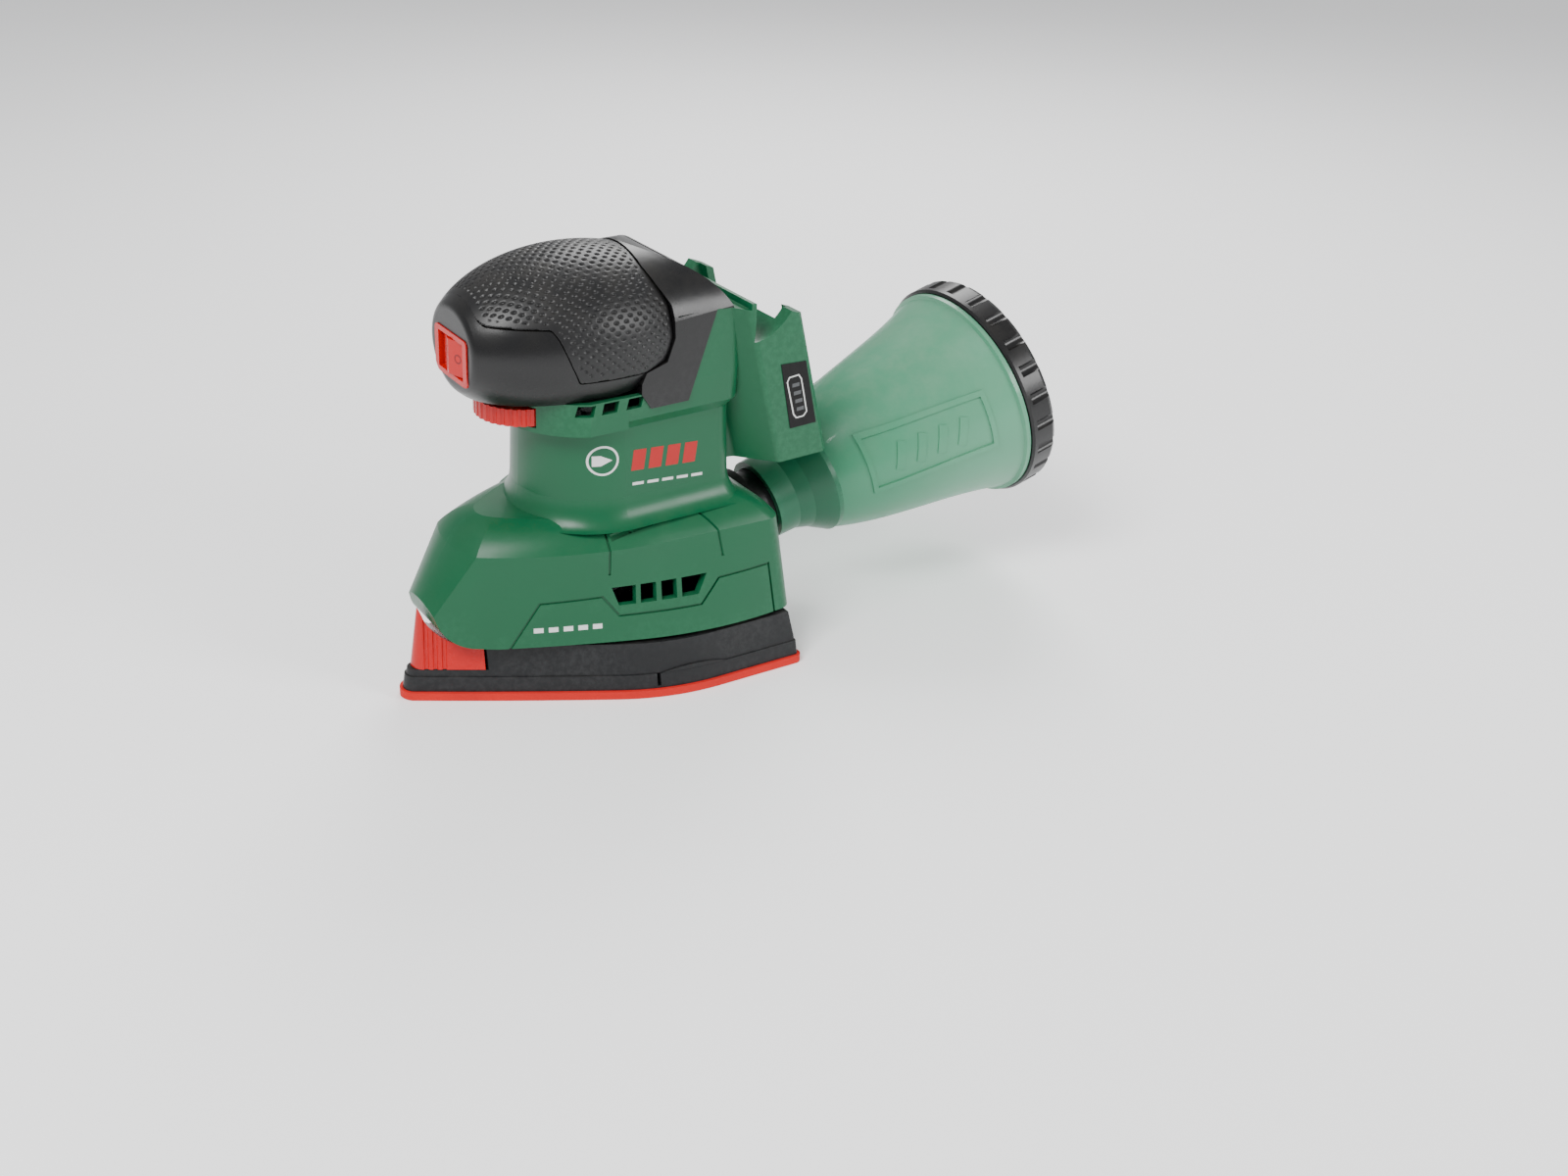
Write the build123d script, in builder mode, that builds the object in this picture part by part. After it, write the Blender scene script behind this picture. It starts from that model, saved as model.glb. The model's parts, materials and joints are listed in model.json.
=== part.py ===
from build123d import *

import os
from math import cos, radians, sin, sqrt

# Cordless orbital multi sander: iron-shaped hook plate, clamshell housing, battery foot and dust box.
# The frame is in millimetres. The origin lies on the sanding face below the motor axis, +Z is up,
# the nose of the plate points along -Y and the dust box leaves the back along +Y.

os.makedirs("parts", exist_ok=True)

# ---------------------------------------------------------------- driving dimensions (mm)
# sanding plate
orbit_radius = 0.8          # the plate travels on a circle of 1.6 mm
plate_nose_y = -80.0
plate_rear_y = 68.0
plate_half_width = 51.0
plate_corner = 3.0
pad_thickness = 3.2
sole_height = 5.8
carrier_height = 12.0
sole_inset = 1.2
sole_draft = 8.0            # degrees that the sole's side leans in
carrier_inset = 2.6
carrier_draft = 10.0
plate_wall = 2.2
dust_hole_radius = 4.5

# skirt, the wide lower part of the housing
housing_gap = 1.6           # air between the plate and the housing, more than the orbit
crease_z = 60.0
dome_z = 69.5
skirt_rear_y = 66.0
wall = 2.4

# neck and battery foot
neck_radius = 29.0
neck_rear_y = 47.0
neck_top_z = 104.0
collar_top_z = 119.0
collar_flare = 2.6
foot_half_width = 36.0
foot_front_y = 43.0
foot_bottom_z = 79.0
foot_rear_bottom_y = 85.0
foot_rear_slope = 14.0      # degrees that the rail face leans from vertical

# grip cap
cap_centre_y = -8.5
cap_centre_z = 135.5
cap_half_width = 35.0
cap_half_length = 53.0
cap_front_y = -54.5         # the egg ends in a flat face for the switch
cap_front_round = 4.0
cap_half_height = 31.0
cap_wall = 2.6
grip_thickness = 1.5
grip_seam = 0.4

# motor, fan and eccentric drive
shaft_radius = 2.5
motor_radius = 19.0
motor_bottom_z = 60.0
motor_length = 37.0
bearing_outer_radius = 8.0
bearing_width = 5.0
fan_radius = 25.0
fan_height = 8.0
plate_bearing_outer_radius = 11.0
plate_bearing_inner_radius = 4.0
plate_bearing_width = 7.0
running_clearance = 0.05

# dust port and dust box, on an axis that climbs to the rear
dust_slope = 15.5
dust_axis_y = 66.0
dust_axis_z = 42.7
port_outer_radius = 13.8
port_length = 26.0
port_wall = 1.8
dust_neck_start = 13.0
dust_body_start = 33.0
dust_body_end = 117.0
dust_body_start_radius = 24.6
dust_body_end_radius = 43.4
dust_wall = 1.8
lock_ring_rim = 2.8         # how far the ring stands out past the box
lock_ring_width = 12.0

# controls
dial_radius = 18.0
dial_height = 6.5
dial_centre_y = -27.0
dial_bottom_z = 107.0
dial_shelf_z = 104.6
dial_air = 0.6              # room round the dial in its slot
dial_pin_radius = 2.0
dial_pin_bottom_z = 100.0
switch_width = 17.0
switch_z = 132.6
clearance = 0.3
plate_travel = 2 * orbit_radius
fastener_radius = 1.9

# ---------------------------------------------------------------- derived places
pad_top_z = pad_thickness
sole_top_z = pad_top_z + sole_height
carrier_top_z = sole_top_z + carrier_height
skirt_bottom_z = carrier_top_z + housing_gap
plate_axis = (0, -orbit_radius)
dust_plane = Plane(
    origin=(0, dust_axis_y, dust_axis_z),
    x_dir=(1, 0, 0),
    z_dir=(0, cos(radians(dust_slope)), sin(radians(dust_slope))),
)


def save(part, name):
    """Labels a finished piece and writes its STEP file."""
    part.label = name
    export_step(part, f"parts/{name}.step")
    print(name, round(part.volume), "mm3")


def iron_wire(nose, side, shoulder, rear, corner, shift=0.0, flank=None):
    """An iron-shaped outline, shift mm inside the given points: nose, two arcs a side, flat back.

    The second arc ends at the rear corner, or at flank, from where the side is straight.
    """
    nose_tip = (0, nose[0] + shift)
    nose_end = (nose[1] - shift * 0.8, nose[0] + nose[2] + shift)
    middle = (side[0] - shift, side[1])
    widest = (shoulder[0] - shift, shoulder[1])
    back_end = (rear[0] - shift, rear[1] - shift - corner)
    nose_middle = (nose_end[0] * 0.55, nose_tip[1] + nose[2] * 0.28)
    ThreePointArc(nose_tip, nose_middle, nose_end)
    front = ThreePointArc(nose_end, middle, widest)
    side_end = (flank[0] - shift, flank[1]) if flank else back_end
    TangentArc(widest, side_end, tangent=front % 1)
    if flank:
        Line(side_end, back_end)
    corner_end = (back_end[0] - corner, rear[1] - shift)
    RadiusArc(back_end, corner_end, -corner)
    Line(corner_end, (0, corner_end[1]))
    mirror(about=Plane.YZ)


def plate_wire():
    """The outline of the sanding face, drawn round the eccentric's axis."""
    iron_wire(
        (plate_nose_y, 5.0, 2.6), (plate_half_width - 24.5, -38), (plate_half_width - 9.5, -9),
        (plate_half_width, plate_rear_y), plate_corner, flank=(plate_half_width - 0.2, 29.3),
    )


def plate_outline(plane, inset):
    """The plate's outline as a face, moved inwards by inset."""
    with BuildSketch(plane) as outline:
        with BuildLine():
            plate_wire()
        make_face()
        if inset:
            offset(amount=-inset, mode=Mode.REPLACE)
    return outline.sketch


def skirt_wire(shift):
    """The housing's lower outline, shift mm inside the outer face."""
    iron_wire((-82, 8.0, 2.6), (25.5, -40), (40.0, 0), (45.5, skirt_rear_y), 6, shift)


def crease_wire(shift):
    """The outline of the edge where the skirt's side turns into its top."""
    iron_wire((-59, 17.0, 4.0), (33.0, -20), (38.8, 12), (41.0, skirt_rear_y - 4), 6, shift)


def skirt_face(z, shift):
    """The lower outline as a face."""
    with BuildSketch(Plane.XY.offset(z)) as outline:
        with BuildLine():
            skirt_wire(shift)
        make_face()
    return outline.sketch


def crease_face(z, shift):
    """The crease outline as a face."""
    with BuildSketch(Plane.XY.offset(z)) as outline:
        with BuildLine():
            crease_wire(shift)
        make_face()
    return outline.sketch


def neck_face(z, grow=0.0):
    """The neck's section: round at the front, with straight sides and a flat back."""
    radius = neck_radius + grow
    rear = neck_rear_y + grow
    with BuildSketch(Plane.XY.offset(z)) as outline:
        with BuildLine():
            quarter = radius * sqrt(0.5)
            ThreePointArc((0, -radius), (quarter, -quarter), (radius, 0))
            Line((radius, 0), (radius - 1.0, rear - 6))
            RadiusArc((radius - 1.0, rear - 6), (radius - 7.0, rear), -6.5)
            Line((radius - 7.0, rear), (0, rear))
            mirror(about=Plane.YZ)
        make_face()
    return outline.sketch


def side_prism(points, half_width, start=None):
    """A prism along X from a profile of (y, z) points, symmetric unless start is given."""
    low = -half_width if start is None else start
    with BuildPart() as prism:
        with BuildSketch(Plane.YZ.offset(low)):
            with BuildLine():
                Polyline(*points, close=True)
            make_face()
        extrude(amount=half_width - low)
    return prism.part


def ellipsoid(grow):
    """The grip cap's egg shape with its flat front, grown by grow on every side."""
    with BuildPart() as egg:
        Sphere(radius=1)
        scale(by=(cap_half_width + grow, cap_half_length + grow, cap_half_height + grow))
        with Locations((0, cap_front_y - cap_centre_y - grow, 0)):
            Box(100, 40, 100, align=(Align.CENTER, Align.MAX, Align.CENTER), mode=Mode.SUBTRACT)
        fillet(faces().sort_by(Axis.Y)[0].edges(), cap_front_round)
    return egg.part.moved(Location((0, cap_centre_y, cap_centre_z)))


def skirt_solid(shift):
    """The skirt and its domed top, shift mm inside the outer face."""
    with BuildPart() as body:
        add(skirt_face(skirt_bottom_z - shift * 2, shift))
        add(crease_face(crease_z - shift * 0.6, shift))
        loft(ruled=True)
        add(crease_face(crease_z - shift * 0.6, shift))
        add(crease_face(crease_z + 5.2 - shift, shift + 4.5))
        add(crease_face(dome_z - shift, shift + 12.0))
        loft()
    return body.part


def collar_shelf(shift):
    """The collar's rounded front, which reaches forward round the speed dial."""
    with BuildPart() as shelf:
        with BuildSketch(Plane.XY.offset(dial_shelf_z + shift)):
            with Locations((0, -2)):
                Circle(neck_radius + 5 - shift)
            Rectangle(2 * (neck_radius + collar_flare - 0.4 - shift), 90, mode=Mode.INTERSECT)
            with Locations((0, 0)):
                Rectangle(100, 100, align=(Align.CENTER, Align.MIN), mode=Mode.SUBTRACT)
        extrude(amount=collar_top_z - dial_shelf_z - shift)
    return shelf.part


def neck_flare():
    """The concave foot of the neck, where it runs out on the skirt's top."""
    with BuildPart() as flare:
        for z, grow in ((66.5, 6.5), (69.0, 3.2), (72.0, 1.5), (77.0, 0.4)):
            add(neck_face(z, grow))
        loft()
    return flare.part


def neck_solid(shift):
    """The neck, which widens into the collar below the cap."""
    with BuildPart() as body:
        add(neck_face(crease_z, 0.8 - shift))
        add(neck_face(neck_top_z, -0.3 - shift))
        loft(ruled=True)
        add(neck_face(neck_top_z, -0.3 - shift))
        add(neck_face(neck_top_z + 3.5, collar_flare - 0.6 - shift))
        loft(ruled=True)
        add(neck_face(neck_top_z + 3.5, collar_flare - 0.6 - shift))
        add(neck_face(collar_top_z, collar_flare - shift))
        loft(ruled=True)
    return body.part


foot_plane = Plane(
    origin=(0, foot_rear_bottom_y, foot_bottom_z + 2),
    x_dir=(1, 0, 0),
    z_dir=(0, -sin(radians(foot_rear_slope)), cos(radians(foot_rear_slope))),
)


def foot_solid(shift):
    """The battery foot: bevelled in front, leaning forward with height, shift mm inside."""
    half = foot_half_width - shift
    with BuildPart() as body:
        with BuildSketch(foot_plane.offset(-12)):
            with BuildLine():
                Polyline(
                    (0, -shift), (half - 2, -shift), (half, -shift - 2), (half, -21.6),
                    (22 - shift * 0.6, -33 + shift * 0.6), (20 - shift * 0.6, -42), (0, -42),
                )
                mirror(about=Plane.YZ)
            make_face()
            fillet([corner for corner in vertices() if -35 < corner.Y < -20], 3)
        extrude(amount=90)
        with BuildSketch(Plane.YZ.offset(-60)):
            with Locations((47, 152)):
                Circle(22 + shift)
            with Locations((50, 152)):
                Rectangle(60, 60, align=(Align.MIN, Align.CENTER), mode=Mode.INTERSECT)
        extrude(amount=120, mode=Mode.SUBTRACT)
        top = [(foot_front_y - 30, 160), (foot_front_y - 30, 145.5 - shift), (49, 145.5 - shift)]
        top += [(71, 138 - shift), (95, 129.7 - shift), (95, 180), (0, 180)]
        add(side_prism(top, 60), mode=Mode.SUBTRACT)
        below = [(20, foot_bottom_z + shift), (120, foot_bottom_z + 2.5 + shift), (120, 40), (20, 40)]
        add(side_prism(below, 60), mode=Mode.SUBTRACT)
    return body.part


def post(centre, radius, bottom, top):
    """A round column along Z."""
    with BuildPart(Plane.XY.offset(bottom)) as column:
        with Locations((centre[0], centre[1])):
            Cylinder(radius, top - bottom, align=(Align.CENTER, Align.CENTER, Align.MIN))
    return column.part


def cross_rod(centre, radius, left, right):
    """A round rod along X at (y, z)."""
    with BuildPart(Plane.YZ.offset(left)) as rod:
        with Locations((centre[0], centre[1])):
            Cylinder(radius, right - left, align=(Align.CENTER, Align.CENTER, Align.MIN))
    return rod.part


def ring(centre, outer, inner, bottom, top):
    """A round ring with its axis along Z."""
    with BuildPart(Plane.XY.offset(bottom)) as tube:
        with Locations((centre[0], centre[1])):
            Cylinder(outer, top - bottom, align=(Align.CENTER, Align.CENTER, Align.MIN))
            Cylinder(inner, top - bottom, align=(Align.CENTER, Align.CENTER, Align.MIN), mode=Mode.SUBTRACT)
    return tube.part


def line_prism(points, width, plane, length):
    """A prism of a line of even width, for a groove, along the plane's normal."""
    with BuildPart() as band:
        with BuildSketch(plane):
            with BuildLine():
                Polyline(*points)
            trace(line_width=width)
        extrude(amount=length)
    return band.part


def dust_revolve(points):
    """A body of revolution round the dust axis from (radius, along) points."""
    with BuildPart() as body:
        with BuildSketch(Plane.XZ):
            with BuildLine():
                Polyline(*points, close=True)
            make_face()
        revolve(axis=Axis.Z)
    return dust_plane.location * body.part


# ---------------------------------------------------------------- interior stack (mm)
pin_bottom_z = 21.5
plate_bearing_z = 22.0
eccentric_z = plate_bearing_z + plate_bearing_width + 2
weight_z = eccentric_z + 2
weight_height = 7.0
fan_z = weight_z + weight_height + 1
deck_z = 54.0
deck_height = 3.0
lower_bearing_z = deck_z + deck_height - bearing_width
motor_top_z = motor_bottom_z + motor_length
motor_end_z = motor_top_z + 1.2
upper_bearing_z = motor_end_z - bearing_width
upper_bearing_radius = bearing_outer_radius - 1
shaft_bore = shaft_radius + running_clearance
shaft_top_z = motor_top_z + 4.2
feet = [(-33, 46), (33, 46), (-9, -42), (9, -42)]
foot_post_z = 30.0
foot_post_radius = 6.5
rubber_radius = 5.0
screw_places = [(-46, 48), (40, 49), (36, 75), (38, 101), (60, 88)]
screw_shoulder = 9.0
ring_holes = [(24 * sin(radians(60 * k)), 24 * cos(radians(60 * k))) for k in range(6)]
dust_holes = ring_holes + [(-16, 50), (16, 50), (0, -56), (-34, 24), (34, 24)]

# ---------------------------------------------------------------- cap outlines
cap_bottom_z = collar_top_z - 2
hood_rise = 0.8
hood_half_width = 32.4
hood_half_height = 29.0
cap_zone = [(-75, cap_bottom_z), (5, cap_bottom_z), (9, 111), (25, 111), (36.5, 144), (48, 143)]
cap_zone += [(48, 185), (-75, 185)]
grip_zone = [(-51, 185), (-51, 147.5), (-30, 146.4), (-28, 143), (-24.4, 134), (-20.6, 126), (7, 125)]
grip_zone += [(15.6, 127.6), (18.8, 136), (18.2, 148), (14.7, 154.5), (12.5, 160), (12.5, 185)]

hood_zone = [(5, 100), (60, 100), (60, 180), (12.5, 180), (12.5, 160), (14.7, 154.5), (18.2, 148)]
hood_zone += [(18.8, 136), (15.6, 127.6), (7, 125), (5, 121)]


def hood_section(plane, across, height):
    """A prism through the hood: a half ellipse above the cap's centre, straight sides below it."""
    with BuildPart() as body:
        with BuildSketch(plane.offset(-100)):
            Ellipse(across, height)
            Rectangle(2 * across, 40, align=(Align.CENTER, Align.MAX))
        extrude(amount=200)
    return body.part


def hood_top(y):
    """The height of the hood's ridge at y."""
    reach = (y - cap_centre_y) / (cap_half_length + hood_rise)
    return cap_centre_z + (cap_half_height + hood_rise) * sqrt(1 - reach ** 2)


side_view = Plane((0, cap_centre_y, cap_centre_z), x_dir=(0, 1, 0), z_dir=(1, 0, 0))
front_view = Plane((0, 0, cap_centre_z), x_dir=(1, 0, 0), z_dir=(0, -1, 0))
hood_grooves = [24.0, 28.0, 32.0, 36.0]

with BuildPart() as hood:
    with BuildSketch(Plane.XY.offset(100)):
        add(neck_face(0, collar_flare + 0.3))
    extrude(amount=80)
    side_shape = hood_section(side_view, cap_half_length + hood_rise, cap_half_height + hood_rise)
    add(side_shape, mode=Mode.INTERSECT)
    add(hood_section(front_view, hood_half_width, hood_half_height), mode=Mode.INTERSECT)
    add(side_prism(hood_zone, 60), mode=Mode.INTERSECT)

with BuildPart() as hood_groove_cuts:
    for groove_y in hood_grooves:
        with Locations((0, groove_y, hood_top(groove_y))):
            Box(30, 1.8, 2.4)

with BuildPart() as cap_outer:
    add(ellipsoid(0))
    add(hood.part)
    add(side_prism(cap_zone, 60), mode=Mode.INTERSECT)
    add(hood_groove_cuts.part, mode=Mode.SUBTRACT)

# ---------------------------------------------------------------- housing
spine_top_z = 144.0

with BuildPart() as spine:
    with BuildSketch(Plane.XY.offset(collar_top_z)):
        add(neck_face(0, collar_flare))
    extrude(amount=spine_top_z - collar_top_z)
    add(side_prism([(20, 100), (60, 100), (60, 180), (20, 180)], 60), mode=Mode.INTERSECT)

with BuildPart() as spine_inner:
    with BuildSketch(Plane.XY.offset(collar_top_z - 1)):
        add(neck_face(0, collar_flare - wall))
    extrude(amount=spine_top_z - wall - collar_top_z)
    add(side_prism([(20, 100), (60, 100), (60, 180), (20, 180)], 60), mode=Mode.INTERSECT)


def nose_cut(gap):
    """The room below and in front of the housing's nose, gap mm clear of the nose: a prism along X."""
    with BuildPart() as room:
        with BuildSketch(Plane.YZ.offset(-60)):
            with BuildLine():
                brow = Line((-73.5, 47), (-69.3, 33.4))
                TangentArc((-69.3, 33.4), (-57, 23.3), tangent=brow % 1)
                Polyline((-57, 23.3), (-45, skirt_bottom_z - 0.4), (-45, 0), (-95, 0), (-95, 47), (-73.5, 47))
            make_face()
            if gap:
                offset(amount=-gap, mode=Mode.REPLACE)
        extrude(amount=120)
    return room.part


with BuildPart() as shell_outer:
    add(foot_solid(0))
    add(skirt_solid(0))
    add(neck_solid(0))
    add(neck_flare())
    add(collar_shelf(0))
    add(spine.part)

with BuildPart() as shell_inner:
    add(foot_solid(wall))
    add(skirt_solid(wall))
    add(neck_solid(wall))
    add(collar_shelf(wall))
    add(spine_inner.part)

with BuildPart() as support_zone:
    add(skirt_solid(wall / 2))
    add(neck_solid(wall / 2))
    add(collar_shelf(wall / 2))
    add(foot_solid(wall / 2))

# everything that stands inside the shell
with BuildPart() as supports:
    with BuildSketch(Plane.XY.offset(deck_z)):
        Rectangle(100, 145, align=(Align.CENTER, Align.CENTER))
        with PolarLocations(15.5, 6, start_angle=30):
            Circle(3.2, mode=Mode.SUBTRACT)
    extrude(amount=deck_height)
    add(post((0, 0), bearing_outer_radius + 3, lower_bearing_z - 2, deck_z))
    for rib_z in (motor_bottom_z + 8, motor_top_z - 9):
        with BuildSketch(Plane.XY.offset(rib_z)):
            Rectangle(70, 70)
            Circle(motor_radius, mode=Mode.SUBTRACT)
        extrude(amount=2.4)
    for place in feet:
        add(post(place, foot_post_radius, foot_post_z, deck_z))
    for place in screw_places:
        add(cross_rod(place, 4.2, -50, 50))
    with BuildSketch(Plane.XY.offset(99)):
        with Locations((0, -20)):
            Rectangle(22, 20, align=(Align.CENTER, Align.MAX))
    extrude(amount=cap_bottom_z - 99)
    add(support_zone.part, mode=Mode.INTERSECT)

# the rail pocket's wall, behind which the battery's tongue slides down
pocket_half = 30.0
pocket_depth = 9.0
lip_width = 4.0
lip_thickness = 3.0

with BuildPart() as pocket_block:
    with BuildSketch(foot_plane.offset(-10)):
        with Locations((0, 0)):
            Rectangle(2 * (pocket_half + wall), pocket_depth + wall, align=(Align.CENTER, Align.MAX))
    extrude(amount=90)
    add(foot_solid(0), mode=Mode.INTERSECT)

with BuildPart() as pocket_room:
    with BuildSketch(foot_plane.offset(8)):
        with Locations((0, -lip_thickness)):
            Rectangle(2 * pocket_half, pocket_depth - lip_thickness, align=(Align.CENTER, Align.MAX))
        with Locations((0, 1)):
            Rectangle(2 * (pocket_half - lip_width), lip_thickness + 2, align=(Align.CENTER, Align.MAX))
    extrude(amount=80)

# vents in the skirt's sides and below the cap
vent_bottom_z = 37.2
vent_top_z = 44.8
skirt_vents = [
    [(-6.5, vent_bottom_z), (-0.2, vent_bottom_z), (-0.2, vent_top_z), (-9.2, vent_top_z)],
    [(1.6, vent_bottom_z), (7.6, vent_bottom_z), (7.6, vent_top_z), (1.6, vent_top_z)],
    [(9.6, vent_bottom_z), (15.6, vent_bottom_z), (15.6, vent_top_z), (9.6, vent_top_z)],
    [(17.6, vent_bottom_z), (24.2, vent_bottom_z), (28.0, vent_top_z), (17.6, vent_top_z)],
]
collar_vents = [
    [(place - 3.6, 112.2), (place + 2.6, 112.2), (place + 3.6, 116.4), (place - 2.6, 116.4)]
    for place in (-17.0, -7.5, 2.5)
]

with BuildPart() as vents:
    for outline in skirt_vents + collar_vents:
        add(side_prism(outline, 60))
    add(side_prism([(-90, 0), (90, 0), (90, 170), (-90, 170)], 18), mode=Mode.SUBTRACT)

# shallow grooves that draw the panels on the skirt's sides and top
groove_depth = 0.6
groove_width = 0.9
side_line = [
    (-46, 21), (-34.8, 40.6), (-12.6, 41.4), (-6.4, 33.0),
    (25.2, 33.0), (33.0, 42.0), (55.0, 42.6), (57.2, 21),
]
panel_corners = [(30.8, -9.7), (30.8, 26.4), (39.6, 33.6), (44.0, 37.0)]
panel_start = [(30.8, -9.7), (46.0, -10.4)]
panel_cells = [(-8.2, -0.8), (0.8, 8.2), (9.8, 17.2), (18.8, 25.4)]

with BuildPart() as groove_lines:
    add(line_prism(side_line, groove_width, Plane.YZ.offset(18), 40))
    add(line_prism(panel_corners, groove_width, Plane.XY.offset(50), 30))
    add(line_prism(panel_start, groove_width, Plane.XY.offset(50), 30))
    for low, high in panel_cells:
        with BuildSketch(Plane.XY.offset(50)):
            with BuildLine():
                Polyline((32.2, low), (32.2, high), (34.0, high + 1.2), (34.0, low), close=True)
            make_face()
        extrude(amount=30)
    mirror(about=Plane.YZ)
    add(skirt_solid(0), mode=Mode.INTERSECT)
    add(skirt_solid(groove_depth), mode=Mode.SUBTRACT)

# a wall that closes the nose behind its cut
with BuildPart() as nose_wall:
    add(skirt_solid(0))
    add(nose_cut(-wall), mode=Mode.INTERSECT)
    add(side_prism([(-95, 0), (-52, 0), (-52, 60), (-95, 60)], 60), mode=Mode.INTERSECT)

with BuildPart() as housing:
    add(shell_outer.part)
    add(shell_inner.part, mode=Mode.SUBTRACT)
    add(vents.part, mode=Mode.SUBTRACT)
    add(groove_lines.part, mode=Mode.SUBTRACT)
    add(nose_wall.part)
    add(supports.part)
    add(pocket_block.part)
    add(pocket_room.part, mode=Mode.SUBTRACT)
    add(nose_cut(0), mode=Mode.SUBTRACT)
    add(side_prism(cap_zone, 60), mode=Mode.SUBTRACT)
    add(post((0, 0), bearing_outer_radius, lower_bearing_z, motor_bottom_z), mode=Mode.SUBTRACT)
    add(post((0, 0), shaft_radius + 2, lower_bearing_z - 3, motor_bottom_z), mode=Mode.SUBTRACT)
    slot_bottom_z = dial_bottom_z - dial_air
    slot_top_z = dial_bottom_z + dial_height + dial_air
    add(post((0, dial_centre_y), dial_radius + dial_air, slot_bottom_z, slot_top_z), mode=Mode.SUBTRACT)
    add(post((0, dial_centre_y), dial_pin_radius, dial_pin_bottom_z, cap_bottom_z), mode=Mode.SUBTRACT)
    for place in feet:
        add(post(place, fastener_radius - 0.2, foot_post_z - 1, foot_post_z + 10), mode=Mode.SUBTRACT)
    for place in screw_places:
        add(cross_rod(place, fastener_radius + 1.5, -60, -screw_shoulder), mode=Mode.SUBTRACT)
        add(cross_rod(place, fastener_radius, -screw_shoulder - 1, screw_shoulder + 1), mode=Mode.SUBTRACT)
    with Locations(dust_plane.offset(-20)):
        Cylinder(port_outer_radius, 40, align=(Align.CENTER, Align.CENTER, Align.MIN), mode=Mode.SUBTRACT)

with BuildPart() as housing_left:
    add(housing.part)
    split(bisect_by=Plane.YZ, keep=Keep.TOP)

with BuildPart() as housing_right:
    add(housing.part)
    split(bisect_by=Plane.YZ, keep=Keep.BOTTOM)

save(housing_left.part, "housing_left")
save(housing_right.part, "housing_right")

with BuildPart() as housing_screws:
    for place in screw_places:
        add(cross_rod(place, fastener_radius + 1.2, -screw_shoulder - 2.4, -screw_shoulder))
        add(cross_rod(place, fastener_radius, -screw_shoulder, screw_shoulder))
save(housing_screws.part, "housing_screws")

# ---------------------------------------------------------------- cap, grip and switch
switch_y = cap_front_y
frame_width = switch_width + 9.0
frame_height = 17.5
frame_depth = 12.0

with BuildPart() as frame_hole:
    with BuildSketch(Plane.XZ.offset(-(switch_y + frame_depth))):
        with Locations((0, switch_z)):
            RectangleRounded(frame_width, frame_height, 2.2)
    extrude(amount=frame_depth + 10)



def grip_prism(inset):
    """The grip's outline seen from the side, inset mm inside, as a prism along X."""
    with BuildPart() as prism:
        with BuildSketch(Plane.YZ.offset(-60)):
            with BuildLine():
                Polyline(*grip_zone, close=True)
            make_face()
            fillet(vertices().sort_by(Axis.Y)[:9], 2)
            if inset:
                offset(amount=-inset, mode=Mode.REPLACE)
        extrude(amount=120)
    return prism.part


cap_floor_z = cap_bottom_z + cap_wall
with BuildPart() as cap_room:
    add(ellipsoid(-grip_thickness - cap_wall))
    above_floor = side_prism([(-80, cap_floor_z), (60, cap_floor_z), (60, 180), (-80, 180)], 60)
    add(above_floor, mode=Mode.INTERSECT)
    with BuildSketch(Plane.XY.offset(100)):
        add(neck_face(0, -1.0))
    extrude(amount=20)

with BuildPart() as top_cap:
    add(cap_outer.part)
    add(cap_room.part, mode=Mode.SUBTRACT)
    add(frame_hole.part, mode=Mode.SUBTRACT)
    add(spine.part, mode=Mode.SUBTRACT)

with BuildPart() as grip_recess:
    add(ellipsoid(0))
    add(ellipsoid(-grip_thickness), mode=Mode.SUBTRACT)
    add(grip_prism(0), mode=Mode.INTERSECT)
    add(frame_hole.part, mode=Mode.SUBTRACT)
    add(hood.part, mode=Mode.SUBTRACT)

with BuildPart() as soft_grip:
    add(grip_recess.part)
    add(grip_prism(grip_seam), mode=Mode.INTERSECT)

with BuildPart() as cap_with_recess:
    add(top_cap.part)
    add(grip_recess.part, mode=Mode.SUBTRACT)
save(cap_with_recess.part, "top_cap")
save(soft_grip.part, "soft_grip")

rocker_pivot_y = switch_y + 6.0
rocker_height = frame_height - 4.4
pivot_radius = 1.4

with BuildPart() as switch_frame:
    add(frame_hole.part)
    add(ellipsoid(0.5), mode=Mode.INTERSECT)
    with BuildSketch(Plane.XZ.offset(-(switch_y + frame_depth - 2))):
        with Locations((0, switch_z)):
            Rectangle(switch_width + 3.0, rocker_height + 2 * clearance)
    extrude(amount=frame_depth + 10, mode=Mode.SUBTRACT)
    with BuildSketch(Plane.XZ.offset(-(switch_y + frame_depth))):
        with Locations((0, switch_z)):
            Rectangle(6, 6)
    extrude(amount=4, mode=Mode.SUBTRACT)
    with Locations((0, rocker_pivot_y, switch_z)):
        Cylinder(pivot_radius + running_clearance, rocker_height + 3, mode=Mode.SUBTRACT)
save(switch_frame.part, "switch_frame")

with BuildPart() as rocker:
    with BuildSketch(Plane.XY.offset(switch_z - rocker_height / 2)):
        with BuildLine():
            half = switch_width / 2
            Polyline(
                (0, switch_y - 1.4), (half, switch_y + 1.0), (half, rocker_pivot_y + 1),
                (3, rocker_pivot_y + 2.4), (0, rocker_pivot_y + 2.4),
            )
            mirror(about=Plane.YZ)
        make_face()
    extrude(amount=rocker_height)
    fillet(edges().filter_by(Axis.Z).sort_by(Axis.Y)[:3], 0.6)
    with Locations((0, rocker_pivot_y, switch_z)):
        Cylinder(pivot_radius, rocker_height + 2.6)
save(rocker.part, "rocker")

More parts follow.
